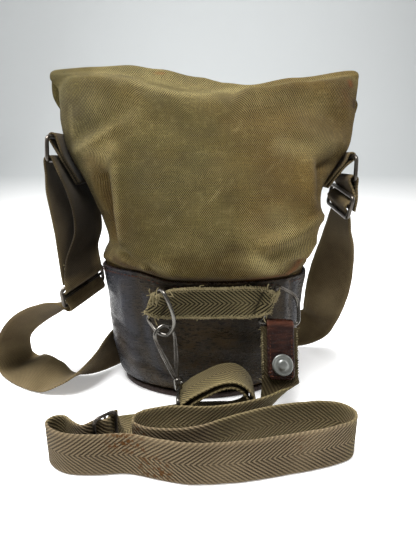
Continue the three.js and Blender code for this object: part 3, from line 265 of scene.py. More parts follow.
# Each end of the band: distance from the bar, distance out from the wall, trim below, trim above.
BAND_END = [
    (15, BAND_INNER, 2, 3), (3, BAND_INNER, 3, 5), (-2, BAND_BAR - 2.2, 3.4, 6), (-3.3, BAND_BAR, 3.4, 6),
    (-2.2, BAND_BAR + 2.2, 3.4, 6), (0.4, BAND_BAR + BAND_TURN, 3, 6), (4, BAND_BAR + 2.3, 1.5, 4),
    (10, 4.9, 0.4, 1), (18, 4.2, 0, 0), (26, 2.2, 0, 0),
]
# Bows of the D-rings, and how far each corner of their loops is rounded.
LEFT_BOW = [(-28.5, -63.4, 99), (-21, -65, 79), (-26, -66, 66.5), (-35.5, -64.5, 69)]
LEFT_REACH = [3, 4, 7, 11, 8, 6]
RIGHT_BOW = [(42, -54.6, 73), (74.8, -48.9, 69.1), (74.8, -42, 90)]
RIGHT_REACH = [4, 3, 3.5, 4.5, 10]

# Leather tab: top of its fold, directions down and across it, places down it and out of its face, then
# how far out its outer face is and the length of its front.
TAB_TOP = np.array((58.6, -51.6, 71.0))
TAB_DOWN, TAB_SIDE = (0.02, -0.3, -0.954), (0.979, 0.172, -0.117)
TAB_ROWS = [
    (20, -2.9), (10, -2.9), (3, -3.1), (-1.4, -2.4), (-2.9, 0), (-1.4, 2.4), (3, 3.1), (10, 2.7),
    (24, 2.5), (40, 2.5), (43, 2.5),
]
TAB_FACE, TAB_FRONT = 3.5, 43.5
# Stud: its place down the tab, then its profile, radius and height above the tab.
STUD_DOWN = 31.5
STUD_ROWS = [
    (7.4, 0), (8.3, 0.5), (8.6, 1.1), (8.5, 1.7), (8.1, 2.25), (7.5, 2.45), (7.0, 2.3), (6.5, 1.95),
    (5.6, 1.95), (4.6, 2.05), (4.1, 2.5), (3.5, 3.05), (2.6, 3.3), (1.4, 3.42),
]
# Snap hook: corners of its loop, its spring, ends of its barrel, knob as distance and radius, then its eye.
HOOK_LOOP = [
    (-20.6, -72.2, 32), (-33.5, -68.5, 58), (-38, -69.5, 70.5), (-29.5, -63.2, 76.2),
    (-22.5, -61.4, 69), (-21.2, -66, 50),
]
SPRING_ROWS = [(-22.6, -62.6, 66), (-21.9, -66.4, 50), (-20.9, -71.4, 35)]
BARREL_LOW, BARREL_HIGH = (-19.2, -73.0, 25.6), (-20.8, -71.8, 35.0)
KNOB_ROWS = [(1.0, 1.0), (2.6, 1.0), (2.9, 1.5), (3.7, 1.75), (4.5, 1.5), (4.9, 0.6)]
EYE_HALF, EYE_X, EYE_Y, EYE_Z = 17.5, -17.4, -73.5, 17.5
# Waist strap: its drop along the tab, its twist to stand on edge, its way on edge as x, y, its middle height.
DROP_ROWS = [(2.6, 0), (20, -0.1), (40.5, 0)]
TWIST_ROWS = [
    (59.4, -66.6, 25, 0.97, 0.12, 0.1), (55.5, -72.5, 18, 0.78, 0.08, 0.58),
    (50, -80.5, 16, 0.5, 0.05, 0.87), (40, -91, 15.6, 0.2, 0, 0.98),
]
EDGE_ROWS = [
    (24, -98.5), (4, -102.5), (-24, -102), (-38, -105.5), (-46, -111.5), (-46, -119.5), (-38, -125),
    (-24, -127.5), (-6, -125.5), (24, -111), (46, -102.5), (72, -97), (89, -96), (99, -100),
    (103.5, -108), (100, -117), (86, -124.5), (53, -133.5), (20, -140), (-8, -141.5), (-26, -138),
    (-49, -132.5), (-70, -133.5), (-88, -132), (-98, -126.5), (-103, -119.5), (-100, -113.5),
    (-93.5, -113), (-87, -118.5), (-79, -123.5),
]
EDGE_MIDDLE = 15.4
# Doubled end of the waist strap: place, direction of the width, half the distance of the layers; then how
# many steps shorter the returning layer is.
CORE_ROWS = [
    (-55.5, -101.5, 9.8, -0.62, 0.64, 0.45, 1.6), (-50, -92, 7.2, -0.7, 0.65, 0.22, 1.6),
    (-38, -84.5, 5, -0.5, 0.86, 0.05, 1.8), (-22, -78.5, 4.4, -0.2, 0.98, 0, 2),
    (-6, -74.8, 4.2, 0, 1, 0, 2.1), (10, -73.5, 4, 0, 1, 0, 2.1), (24, -73.5, 4.4, 0, 1, 0, 2.1),
    (33, -73.5, 9, 0, 1, 0, 2.2), (36, -73.5, 19.5, 0, 1, 0, 2.3), (32, -73.5, 31, 0, 1, 0, 2.3),
    (23.5, -73.5, 37.5, 0, 1, 0, 2.3), (13, -73.5, 36.8, 0, 1, 0, 2.3), (1, -73.5, 31, 0, 1, 0, 2.4),
    (-9, -73.5, 25, 0, 1, 0, 2.6),
]
CORE_SHORT = 10
# Rust spots on the front of the waist strap: x, z, amount, reach.
WAIST_SPOTS = [
    (-54, 25, 1.6, 7), (-43, 24, 1.6, 7), (-33, 9, 1.7, 9), (-26, 7, 1.3, 7), (60, 22, 0.4, 9),
]

# Stitches: step, or 0 for the panel's stitch pitch, length, radius and slant.
STITCH_KINDS = {
    "band edge": (0.0019, 0.0040, 0.00074, 0.6), "band line": (0, 0.0022, 0.00034, 0.0),
    "band end": (0.0021, 0.0032, 0.00048, 0.9), "band coil": (0.0024, 0.0048, 0.00042, 1.1),
    "tab": (0, 0.0020, 0.00036, 0.0), "waist edge": (0.0019, 0.0032, 0.00062, 0.6),
    "shoulder": (0, 0.0021, 0.00038, 0.0), "seam": (0.0036, 0.0026, 0.00036, 0.0),
}
# Loose threads: step, length, spread of their directions.
THREAD_KINDS = {
    "band edge": (0.0044, 0.0050, (1.2, 0.8, 2.6)), "band end": (0.0016, 0.0070, (3.0, 1.2, 3.0)),
    "waist edge": (0.0030, 0.0034, (1.5, 1.0, 2.5)),
}

# Stage: y and z along the floor and up the sweep, half width, drop below the sole, steps along it.
STAGE_PROFILE = [
    (-2500, 0), (450, 0), (800, 0), (1150, 50), (1450, 230), (1600, 560), (1650, 1200), (1650, 2600),
]
STAGE_HALF, STAGE_DROP, STAGE_STEPS = 4000, 0.2, 57
# Colours of the stage: floor, sweep, glow of the floor, none on the sweep; then the sky and its strength.
FLOOR_WHITE, SWEEP_GREY = (0.9, 0.9, 0.9, 1), (0.47, 0.49, 0.495, 1)
FLOOR_GLOW, NO_GLOW = (0.30, 0.30, 0.30, 1), (0.0, 0.0, 0.0, 1)
SKY_COLOUR, SKY_STRENGTH = (1.0, 0.98, 0.95, 1), 0.28
# Lights, in metres: name, place, target, size, power.
LIGHTS = [
    ("Top", (-0.16, -0.20, 1.30), (0, 0, 0.1), 0.6, 37.0),
    ("Left", (-1.0, 0.20, 0.40), (0, 0, 0.06), 1.2, 15.0),
    ("Right", (1.3, 0.30, 0.5), (0, 0, 0.1), 0.8, 9.0),
    ("Behind", (0.0, 0.75, 1.6), (0, 0.6, 0), 1.2, 6.0),
]
# Camera fitted to the photograph: place in metres, tilt in degrees, then its focal length and the
# photograph's height in pixels, and the sensor's width in millimetres.
CAMERA_PLACE, CAMERA_TILT = (0.003, -0.356, 0.196), 74.0
FOCAL_PIXELS, PHOTO_HEIGHT, SENSOR = 417.0, 555.0, 36.0


def size_property(label, words, value):
    return bpy.props.FloatProperty(name=label, description=words, default=value, unit="LENGTH")


class BagSizes(bpy.types.PropertyGroup):
    """Thicknesses, widths and repeats of the cloth, leather and webbing"""
    canvas_thickness: size_property("Canvas thickness", "Wall of the canvas sack", 0.0018)
    leather_thickness: size_property("Leather thickness", "Wall of the leather base", 0.0025)
    waist_width: size_property("Waist strap width", "Width of the herringbone strap", 0.030)
    waist_thickness: size_property("Waist strap thickness", "Thickness of that webbing", 0.0017)
    shoulder_width: size_property("Shoulder strap width", "Width of the plain strap", 0.041)
    shoulder_thickness: size_property("Shoulder strap thickness", "Thickness of that webbing", 0.0018)
    side_tab_width: size_property("Side tab width", "Width of the tabs that hold the side rings", 0.031)
    tab_width: size_property("Leather tab width", "Width of the studded tab", 0.022)
    tab_thickness: size_property("Leather tab thickness", "Thickness of the studded tab", 0.002)
    weave_pitch: size_property("Weave pitch", "Repeat of the plain weave of sack and shoulder strap", 0.0015)
    twill_pitch: size_property("Twill pitch", "Repeat of the waist strap's ribs", 0.0034)
    band_pitch: size_property("Band pitch", "Repeat of the front band's ribs", 0.0035)
    stitch_pitch: size_property("Stitch pitch", "Distance from stitch to stitch", 0.0027)


def colour_property(label, words, value):
    return bpy.props.FloatVectorProperty(
        name=label, description=words, default=value + (1.0,), size=4, subtype="COLOR", min=0.0, max=1.0)


class BagColours(bpy.types.PropertyGroup):
    """Colours of the cloth, leather, metal and thread"""
    canvas_olive: colour_property("Canvas olive", "Main colour of the canvas", (0.054, 0.0435, 0.0140))
    canvas_brown: colour_property("Canvas brown", "Browner fields of the canvas", (0.069, 0.0455, 0.0128))
    # Canvas pale is laid on for pale scuffs and for painted light.
    canvas_pale: colour_property("Canvas pale", "Worn edges and creases", (0.20, 0.165, 0.072))
    # Stain is laid on for real stains and for painted shade in hollows and above the leather rim.
    stain: colour_property("Stain", "Dark brown stains of the canvas", (0.022, 0.010, 0.004))
    rust: colour_property("Rust", "Rusty spots of the canvas", (0.115, 0.040, 0.009))
    rust_dark: colour_property("Dark rust", "Rusty specks on the waist strap", (0.066, 0.026, 0.005))
    leather_dark: colour_property("Leather dark", "Leather of the base", (0.0040, 0.0030, 0.0020))
    # Leather grey is laid on for scuffed leather and for the painted pale sheen.
    leather_grey: colour_property("Leather grey", "Rubbed leather", (0.027, 0.031, 0.043))
    leather_brown: colour_property("Leather brown", "Worn wrinkles of the leather", (0.030, 0.0190, 0.0082))
    rim_brown: colour_property("Rim brown", "Raw edge of the leather", (0.052, 0.017, 0.008))
    twill_light: colour_property("Webbing light", "Raised ribs of the waist strap", (0.195, 0.148, 0.088))
    twill_olive: colour_property("Webbing olive", "Ribs of its inner runs", (0.175, 0.142, 0.062))
    twill_dark: colour_property("Webbing dark", "Grooves of the waist strap", (0.026, 0.018, 0.009))
    band_light: colour_property("Band light", "Ribs of the front band", (0.148, 0.121, 0.060))
    band_dark: colour_property("Band dark", "Grooves of the front band", (0.006, 0.0045, 0.002))
    strap_light: colour_property("Strap light", "Rubbed shoulder webbing", (0.116, 0.087, 0.0435))
    strap_dark: colour_property("Strap dark", "Shoulder webbing", (0.038, 0.025, 0.0105))
    # This colour is painted shade on the shoulder strap's left runs.
    strap_shade: colour_property("Strap grime", "Soiled shoulder webbing", (0.006, 0.004, 0.002))
    tab_red: colour_property("Tab red", "Polished leather tab", (0.0058, 0.0013, 0.0010))
    # This colour is laid on for scuffs and for the painted highlight along the fold; the waxed thread uses it
    # too.
    tab_worn_and_lit: colour_property("Tab worn", "Rubbed places of the tab", (0.080, 0.026, 0.013))
    steel: colour_property("Steel", "Bare wire", (0.122, 0.117, 0.105))
    steel_worn: colour_property("Tarnished steel", "Dull fields of the bare wire", (0.032, 0.024, 0.017))
    blued: colour_property("Blued steel", "Dark wire", (0.040, 0.035, 0.030))
    blued_worn: colour_property("Rubbed blued steel", "Bright fields of the dark wire", (0.16, 0.14, 0.12))
    zinc: colour_property("Zinc", "Cap of the stud", (0.22, 0.23, 0.215))
    zinc_worn: colour_property("Dull zinc", "Dull fields of the cap", (0.10, 0.10, 0.095))
    thread: colour_property("Thread", "Stitches and loose threads", (0.21, 0.175, 0.095))


def smooth(t):
    """Soft step from 0 to 1."""
    t = np.clip(t, 0.0, 1.0)
    return t * t * (3.0 - 2.0 * t)


def look_up(rows, column, at):
    """Value between the rows of a table keyed by its first column, with soft steps."""
    keys = np.array([r[0] for r in rows], float)
    values = np.array([r[column] for r in rows], float)
    at = np.clip(np.asarray(at, float), keys[0], keys[-1])
    i = np.clip(np.searchsorted(keys, at), 1, len(keys) - 1)
    t = (at - keys[i - 1]) / (keys[i] - keys[i - 1])
    return values[i - 1] + (values[i] - values[i - 1]) * smooth(t)


def catmull(points, at, closed=False):
    """Soft curve through points, read at places counted in points."""
    p = np.asarray(points, float)
    count = len(p)
    at = np.asarray(at, float)
    i = np.floor(at).astype(int)
    if closed:
        p0, p1, p2, p3 = (p[(i + k) % count] for k in (-1, 0, 1, 2))
    else:
        i = np.clip(i, 0, count - 2)
        full = np.concatenate([2 * p[:1] - p[1:2], p, 2 * p[-1:] - p[-2:-1]])
        p0, p1, p2, p3 = (full[i + k] for k in range(4))

    def gap(a, b):
        return np.maximum(np.linalg.norm(b - a, axis=-1, keepdims=True) ** 0.5, 1e-4)

    d0, d1, d2 = gap(p0, p1), gap(p1, p2), gap(p2, p3)
    m1 = ((p1 - p0) / d0 - (p2 - p0) / (d0 + d1) + (p2 - p1) / d1) * d1
    m2 = ((p2 - p1) / d1 - (p3 - p1) / (d1 + d2) + (p3 - p2) / d2) * d1
    t = (at - i).reshape((-1,) + (1,) * (p.ndim - 1))
    return p1 + m1 * t + (3 * (p2 - p1) - 2 * m1 - m2) * t ** 2 + (2 * (p1 - p2) + m1 + m2) * t ** 3


def between(count, parts):
    """Places counted in rows, with the way from row to row cut into parts."""
    steps = np.linspace(0, 1, parts + 1)[:-1]
    return np.concatenate([i + steps for i in range(count - 1)] + [[count - 1]])


def unit(v):
    return v / np.maximum(np.linalg.norm(v, axis=-1, keepdims=True), 1e-9)


def waves(points, seed, length, count=9):
    """Soft random lumps of about unit height, from sine waves of the given length."""
    rng = np.random.default_rng(seed)
    total = np.zeros(points.shape[:-1])
    for _ in range(count):
        way = unit(rng.normal(size=3))
        phase = rng.uniform(0, 2 * math.pi)
        total += np.sin(points @ way * (2 * math.pi / (length * rng.uniform(0.7, 1.5))) + phase)
    return total / math.sqrt(count)


def strokes(points, rows):
    """Sum of soft strokes seen from the front: from x, z to x, z, amount, reach."""
    flat = points[..., (0, 2)]
    up, down = np.zeros(flat.shape[:-1]), np.zeros(flat.shape[:-1])
    for x0, z0, x1, z1, amount, reach in rows:
        a, b = np.array((x0, z0), float), np.array((x1, z1), float)
        t = np.clip(((flat - a) @ (b - a)) / max((b - a) @ (b - a), 1e-6), 0, 1)
        near = np.linalg.norm(flat - a - t[..., None] * (b - a), axis=-1) / reach
        part = (abs(amount) * np.exp(-near * near)) ** 4
        if amount > 0:
            up += part
        else:
            down += part
    return up ** 0.25 - down ** 0.25


def clipped(**coats):
    """Point values to paint with, kept between 0 and 1."""
    return {name: np.clip(coat, 0, 1) for name, coat in coats.items()}


def build_mesh(name, vertices, faces, uvs=None, values=None, material=None):
    """Mesh object at the origin, from millimetres, with a UV per corner and named point values."""
    mesh = bpy.data.meshes.new(name)
    mesh.from_pydata((np.asarray(vertices) * MM).tolist(), [], faces)
    if uvs is not None:
        layer = mesh.uv_layers.new(name="UVMap")
        layer.data.foreach_set("uv", np.asarray(uvs, float).reshape(-1))
    for key, data in (values or {}).items():
        attribute = mesh.attributes.new(key, "FLOAT", "POINT")
        attribute.data.foreach_set("value", np.asarray(data, float).reshape(-1))
    mesh.validate()
    mesh.shade_smooth()
    mesh.materials.append(material)
    obj = bpy.data.objects.new(name, mesh)
    bpy.context.scene.collection.objects.link(obj)
    return obj


def signed_volume(vertices, faces):
    """Six times the volume inside the faces, negative when they point inwards."""
    total = 0.0
    for f in faces:
        for k in range(1, len(f) - 1):
            total += np.dot(vertices[f[0]], np.cross(vertices[f[k]], vertices[f[k + 1]]))
    return total


def grid_faces(rows, count, closed=False):
    """Faces between rings of count points; closed joins the last ring to the first."""
    faces = []
    for i in range(rows if closed else rows - 1):
        a, b = i * count, ((i + 1) % rows) * count
        for k in range(count):
            n = (k + 1) % count
            faces.append((a + k, a + n, b + n, b + k))
    return faces


def shell_faces(rings, closed=False):
    """Outward faces of a run of rings, with a cap at each end unless it is closed."""
    rows, count = rings.shape[:2]
    faces = grid_faces(rows, count, closed)
    if not closed:
        faces.append(tuple(range(count - 1, -1, -1)))
        faces.append(tuple(range((rows - 1) * count, rows * count)))
    if signed_volume(rings.reshape(-1, 3), faces) < 0:
        faces = [tuple(reversed(f)) for f in faces]
    return faces


def ring_solid(name, rings, material, uv=None, values=None):
    """Capped piece through rings of points; uv gives a pair for each ring and place."""
    rings = np.asarray(rings, float)
    faces = shell_faces(rings)
    uvs = None
    if uv is not None:
        flat = uv.reshape(-1, 2)
        uvs = np.concatenate([flat[list(f)] for f in faces])
    return build_mesh(name, rings.reshape(-1, 3), faces, uvs, values, material)


def join_shells(name, shells, material):
    """One piece from several runs of rings; each is (rings, closed round)."""
    vertices, faces, first = [], [], 0
    for rings, closed in shells:
        faces += [tuple(v + first for v in f) for f in shell_faces(rings, closed)]
        vertices.append(rings.reshape(-1, 3))
        first += len(vertices[-1])
    return build_mesh(name, np.concatenate(vertices), faces, material=material)


def thicken(obj, thickness):
    """Gives a surface a wall of this thickness, inwards, as part of its mesh."""
    modifier = obj.modifiers.new("Solidify", "SOLIDIFY")
    modifier.thickness = thickness
    modifier.offset = -1.0
    modifier.use_even_offset = False
    modifier.use_rim = True
    graph = bpy.context.evaluated_depsgraph_get()
    made = bpy.data.meshes.new_from_object(
        obj.evaluated_get(graph), preserve_all_data_layers=True, depsgraph=graph)
    obj.modifiers.remove(modifier)
    old = obj.data
    obj.data = made
    made.name = old.name
    bpy.data.meshes.remove(old)


def finish_piece(obj, slot, *nodes):
    """Parents a piece to the bag's root and hides the CAD nodes it stands for."""
    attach(obj, "root")
    if nodes:
        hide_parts(*nodes)


GROUPS = {}
MATERIALS = {}


class Net:
    """Shorthand for building node trees."""

    def __init__(self, tree):
        self.tree = tree

    def link(self, a, b):
        self.tree.links.new(a, b)

    def node(self, kind, inputs=None, **settings):
        """New node; an input that is a socket is linked, any other is set as a value."""
        made = self.tree.nodes.new(kind)
        for key, value in settings.items():
            setattr(made, key, value)
        for key, value in (inputs or {}).items():
            if isinstance(value, bpy.types.NodeSocket):
                self.link(value, made.inputs[key])
            else:
                made.inputs[key].default_value = value
        return made

    def math(self, operation, a, b=0.0):
        return self.node("ShaderNodeMath", {0: a, 1: b}, operation=operation).outputs[0]

    def plus(self, a, b):
        return self.math("ADD", a, b)

    def minus(self, a, b):
        return self.math("SUBTRACT", a, b)

    def times(self, a, b):
        return self.math("MULTIPLY", a, b)

    def span(self, value, low, high, to_low=0.0, to_high=1.0):
        """Value moved from one range to another and kept inside it."""
        return self.node("ShaderNodeMapRange", {0: value, 1: low, 2: high, 3: to_low, 4: to_high}).outputs[0]

    def noise(self, vector, scale, detail=3.0, rough=0.55):
        inputs = {"Vector": vector, "Scale": scale, "Detail": detail, "Roughness": rough}
        return self.node("ShaderNodeTexNoise", inputs).outputs[0]

    def stretched(self, vector, scale):
        return self.node("ShaderNodeMapping", {"Vector": vector, "Scale": scale}).outputs[0]

    def split(self, vector):
        return self.node("ShaderNodeSeparateXYZ", {0: vector}).outputs

    def mix(self, factor, a, b, blend="MIX"):
        inputs = {0: factor, 6: a, 7: b}
        return self.node("ShaderNodeMix", inputs, data_type="RGBA", blend_type=blend).outputs[2]

    def shaded(self, colour, shade):
        """Colour times a grey value."""
        tint = self.node("ShaderNodeCombineColor", {0: shade, 1: shade, 2: shade})
        return self.mix(1.0, colour, tint.outputs[0], "MULTIPLY")

    def painted(self, key):
        """Point value of the piece."""
        return self.node("ShaderNodeAttribute", attribute_name=key).outputs["Fac"]

    def coat(self, colour, key, amount, other):
        """Colour with another one over it where a point value says so."""
        return self.mix(self.times(self.painted(key), amount), colour, other)

    def group(self, key, **inputs):
        """Outputs of a shared group."""
        return self.node("ShaderNodeGroup", inputs, node_tree=GROUPS[key]).outputs

    def places(self):
        """Object coordinates and the piece's own UV."""
        made = self.node("ShaderNodeTexCoord")
        return made.outputs["Object"], made.outputs["UV"]

    def bump(self, shader, height, distance, strength):
        inputs = {"Height": height, "Distance": distance, "Strength": strength}
        self.link(self.node("ShaderNodeBump", inputs).outputs[0], shader["Normal"])


def new_tree(name, kind, inputs, outputs):
    """Empty node tree with named sockets; gives its net, what enters and what leaves."""
    tree = bpy.data.node_groups.new(name, kind)
    for way, sockets in (("INPUT", inputs), ("OUTPUT", outputs)):
        for label, socket in sockets.items():
            tree.interface.new_socket(name=label, in_out=way, socket_type="NodeSocket" + socket)
    net = Net(tree)
    return net, net.node("NodeGroupInput").outputs, net.node("NodeGroupOutput").inputs


def shader_group(name, inputs, outputs):
    """Shader group of values; its first input is a vector."""
    kinds = ["Vector"] + ["Float"] * (len(inputs) - 1)
    return new_tree(name, "ShaderNodeTree", dict(zip(inputs, kinds)), dict.fromkeys(outputs, "Float"))


def plain_weave_group():
    """Over and under yarns of a plain weave, on a UV in metres."""
    net, enter, leave = shader_group("Plain weave", ("UV", "Pitch"), ("Height", "Yarn"))
    uv = enter["UV"]
    parts = net.split(uv)
    turn = net.math("DIVIDE", 2 * math.pi, enter["Pitch"])
    drift = net.times(net.noise(uv, 130.0, 2.0), 2.4)
    across = net.math("SINE", net.plus(net.times(parts[0], turn), drift))
    along = net.math("SINE", net.minus(net.times(parts[1], net.times(turn, 0.73)), drift))
    patch = net.span(net.noise(uv, 34.0, 2.0), 0.36, 0.64, 0.25, 1.5)
    dots = net.times(net.times(across, along), patch)
    fibre = net.noise(uv, 850.0, 3.0, 0.7)
    weft = net.noise(net.stretched(uv, (45.0, 900.0, 1.0)), 1.0, 2.0)
    warp = net.noise(net.stretched(uv, (900.0, 45.0, 1.0)), 1.0, 2.0)
    slub = net.times(net.minus(net.plus(weft, warp), 1.0), 0.24)
    rough = net.plus(net.times(net.minus(fibre, 0.5), 0.95), slub)
    net.link(net.plus(net.plus(net.times(dots, 0.5), rough), 0.5), leave["Height"])
    yarn = net.plus(net.times(dots, 2.3), net.times(rough, 2.0))
    net.link(net.span(yarn, -0.75, 0.75), leave["Yarn"])
    return net.tree


def herringbone_group():
    """Slanting ribs that turn back along the middle of the webbing, on a UV in metres."""
    net, enter, leave = shader_group("Herringbone", ("UV", "Pitch", "Slope", "Shear"), ("Height", "Rib"))
    parts = net.split(enter["UV"])
    turn = net.math("DIVIDE", 2 * math.pi, enter["Pitch"])
    side = net.times(net.math("ABSOLUTE", parts[0]), enter["Slope"])
    slant = net.plus(net.plus(parts[1], net.times(parts[0], enter["Shear"])), side)
    drift = net.times(net.noise(enter["UV"], 90.0, 2.0), 1.5)
    rib = net.math("SINE", net.plus(net.times(slant, turn), drift))
    yarn = net.math("SINE", net.times(parts[0], net.times(turn, 2.0)))
    fibre = net.times(net.minus(net.noise(enter["UV"], 1500.0, 2.0), 0.5), 0.5)
    height = net.plus(net.plus(net.times(rib, 0.40), net.times(yarn, 0.10)), fibre)
    net.link(net.plus(height, 0.5), leave["Height"])
    net.link(net.span(height, -0.26, 0.30), leave["Rib"])
    return net.tree


def leather_grain_group():
    """Fine pebbles and longer wrinkles of leather."""
    net, enter, leave = shader_group("Leather grain", ("Vector", "Scale"), ("Height", "Crackle"))
    inputs = {"Vector": enter["Vector"], "Scale": enter["Scale"]}
    cells = net.node("ShaderNodeTexVoronoi", inputs, feature="DISTANCE_TO_EDGE")
    pebble = net.span(cells.outputs[0], 0.0, 0.22)
    folds = []
    for scale in ((110.0, 110.0, 320.0), (120.0, 120.0, 760.0)):
        wrinkle = net.noise(net.stretched(enter["Vector"], scale), 1.0, 3.0, 0.6)
        folds.append(net.span(net.math("ABSOLUTE", net.minus(wrinkle, 0.5)), 0.0, 0.10))
    crackle = net.times(folds[0], folds[1])
    net.link(net.plus(net.times(pebble, 0.15), net.times(crackle, 0.85)), leave["Height"])
    net.link(crackle, leave["Crackle"])
    return net.tree


def fields_group():
    """Large soft fields and small flecks for uneven colour and wear."""
    net, enter, leave = shader_group("Uneven fields", ("Vector", "Scale"), ("Fields", "Flecks"))
    large = net.noise(enter["Vector"], enter["Scale"], 4.0, 0.55)
    small = net.noise(enter["Vector"], net.times(enter["Scale"], 14.0), 3.0, 0.6)
    net.link(net.span(large, 0.36, 0.66), leave["Fields"])
    net.link(net.span(small, 0.50, 0.74), leave["Flecks"])
    return net.tree


def new_material(name, levels):
    """Material with a Principled shader; gives the material, its net and the shader's inputs."""
    made = bpy.data.materials.new(name)
    made.use_nodes = True
    made.node_tree.nodes.clear()
    net = Net(made.node_tree)
    shader = net.node("ShaderNodeBsdfPrincipled", levels)
    net.link(shader.outputs[0], net.node("ShaderNodeOutputMaterial").inputs[0])
    return made, net, shader.inputs


def cloth_levels(roughness, sheen, specular):
    return {"Roughness": roughness, "Sheen Weight": sheen, "Specular IOR Level": specular}


def canvas_material(sizes, colours):
    made, net, shader = new_material("Worn canvas", cloth_levels(0.95, 0.03, 0.08))
    place, uv = net.places()
    weave = net.group("weave", UV=uv, Pitch=sizes.weave_pitch)
    fields = net.group("fields", Vector=place, Scale=13.0)
    uneven = net.times(net.minus(fields["Fields"], 0.5), 0.6)
    colour = net.mix(net.plus(net.painted("brown"), uneven), colours.canvas_olive, colours.canvas_brown)
    # Pale coat: scuffed creases and edges, and painted light on lit fields and on the top.
    worn_and_lit = net.plus(net.times(net.painted("wear"), 0.8), net.times(fields["Flecks"], 0.16))
    colour = net.mix(worn_and_lit, colour, colours.canvas_pale)
    # The stain coat holds stains, and painted shade in hollows and above the leather rim.
    colour = net.coat(colour, "stain", 0.75, colours.stain)
    colour = net.coat(colour, "rust", 0.85, colours.rust)
    # Painted shade: the dark coat darkens the canvas where the sack lies in shade.
    painted_shade_factor = net.minus(1.0, net.times(net.painted("dark"), 0.5))
    shade = net.times(net.span(weave["Yarn"], 0.0, 1.0, 0.02, 2.16), painted_shade_factor)
    net.link(net.shaded(colour, shade), shader["Base Color"])
    net.bump(shader, weave["Height"], 0.0006, 1.0)
    return made


def leather_material(colours):
    made, net, shader = new_material("Base leather", {
        "Specular IOR Level": 0.14, "Specular Tint": (1.0, 0.80, 0.52, 1),
        "Coat Weight": 0.05, "Coat Roughness": 0.22})
    place, _ = net.places()
    grain = net.group("grain", Vector=place, Scale=700.0)
    fields = net.group("fields", Vector=place, Scale=16.0)
    # Grey coat: scuffed leather and the painted pale sheen.
    rubbed_and_sheen = net.plus(net.times(net.painted("wear"), 0.9), net.times(fields["Fields"], 0.10))
    colour = net.mix(rubbed_and_sheen, colours.leather_dark, colours.leather_grey)
    creased = net.times(net.minus(1.0, grain["Crackle"]), net.span(rubbed_and_sheen, 0.0, 0.5, 0.9, 0.0))
    colour = net.mix(net.plus(creased, net.painted("brown")), colour, colours.leather_brown)
    # Painted shade: the dark coat lays near black bands of shade and dark reflection.
    colour = net.coat(colour, "dark", 0.9, colours.leather_dark)
    colour = net.coat(colour, "stain", 0.9, colours.rim_brown)
    net.link(colour, shader["Base Color"])
    rough = net.span(grain["Height"], 0.0, 1.0, 0.34, 0.20)
    net.link(net.plus(rough, net.times(fields["Flecks"], 0.16)), shader["Roughness"])
    net.bump(shader, grain["Height"], 0.0010, 1.0)
    return made


def tab_material(colours):
    made, net, shader = new_material("Polished tab leather", {
        "Specular IOR Level": 0.08, "Coat Weight": 0.18, "Coat Roughness": 0.09})
    place, _ = net.places()
    grain = net.group("grain", Vector=place, Scale=900.0)
    fields = net.group("fields", Vector=place, Scale=60.0)
    crease = net.span(net.noise(net.stretched(place, (90.0, 90.0, 520.0)), 1.0, 3.0, 0.6), 0.46, 0.70)
    # The pale coat holds scuffs and the painted highlight along the fold.
    worn_and_lit = net.plus(net.painted("wear"), net.times(fields["Fields"], 0.13))
    worn_and_lit = net.plus(worn_and_lit, net.times(crease, 0.34))
    net.link(net.mix(worn_and_lit, colours.tab_red, colours.tab_worn_and_lit), shader["Base Color"])
    net.link(net.span(fields["Flecks"], 0.0, 1.0, 0.20, 0.40), shader["Roughness"])
    net.bump(shader, net.plus(grain["Height"], net.times(crease, 1.2)), 0.0004, 0.9)
    return made


def twill_material(name, light, olive, dark, stain, **ribs):
    """Herringbone webbing; ribs are the inputs of its pattern."""
    made, net, shader = new_material(name, cloth_levels(0.95, 0.03, 0.08))
    place, uv = net.places()
    twill = net.group("twill", UV=uv, **ribs)
    fields = net.group("fields", Vector=place, Scale=22.0)
    light = net.mix(net.painted("tone"), olive, light)
    colour = net.mix(twill["Rib"], dark, light)
    colour = net.mix(net.times(fields["Fields"], 0.30), colour, dark)
    colour = net.coat(colour, "wear", 0.6, light)
    # Painted shade: the dark coat darkens the waist strap below the tab and on its doubled end, and lays the
    # shadow line at the band's folded ends.
    colour = net.coat(colour, "dark", 0.85, dark)
    speck = net.span(net.noise(place, 380.0, 2.0), 0.53, 0.60)
    net.link(net.coat(colour, "stain", speck, stain), shader["Base Color"])
    net.bump(shader, twill["Height"], 0.0007, 1.0)
    return made


def strap_material(sizes, colours):
    made, net, shader = new_material("Plain webbing", cloth_levels(0.92, 0.03, 0.1))
    place, uv = net.places()
    weave = net.group("weave", UV=uv, Pitch=sizes.weave_pitch)
    fields = net.group("fields", Vector=place, Scale=18.0)
    worn_and_lit = net.plus(net.times(net.painted("wear"), 0.6), net.times(fields["Fields"], 0.5))
    colour = net.mix(worn_and_lit, colours.strap_dark, colours.strap_light)
    # Painted shade: the dark coat darkens the left runs of the strap.
    colour = net.coat(colour, "dark", 0.85, colours.strap_shade)
    shade = net.span(weave["Yarn"], 0.0, 1.0, 0.62, 1.35)
    net.link(net.shaded(colour, shade), shader["Base Color"])
    net.bump(shader, weave["Height"], 0.0003, 0.6)
    return made


def metal_material(name, colour, worn_colour, roughness, amount):
    made, net, shader = new_material(name, {})
    place, _ = net.places()
    fields = net.group("fields", Vector=place, Scale=70.0)
    mask = net.times(fields["Fields"], amount)
    net.link(net.mix(mask, colour, worn_colour), shader["Base Color"])
    net.link(net.span(fields["Flecks"], 0.0, 1.0, roughness, roughness + 0.12), shader["Roughness"])
    net.link(net.span(mask, 0.0, 1.0, 1.0, 0.55), shader["Metallic"])
    net.bump(shader, fields["Flecks"], 0.0001, 0.06)
    return made


def thread_material(name, colour, dark):
    made, net, shader = new_material(name, cloth_levels(0.9, 0.04, 0.1))
    place, _ = net.places()
    fields = net.group("fields", Vector=place, Scale=260.0)
    net.link(net.mix(fields["Fields"], colour, dark), shader["Base Color"])
    net.bump(shader, fields["Flecks"], 0.0002, 0.5)
    return made


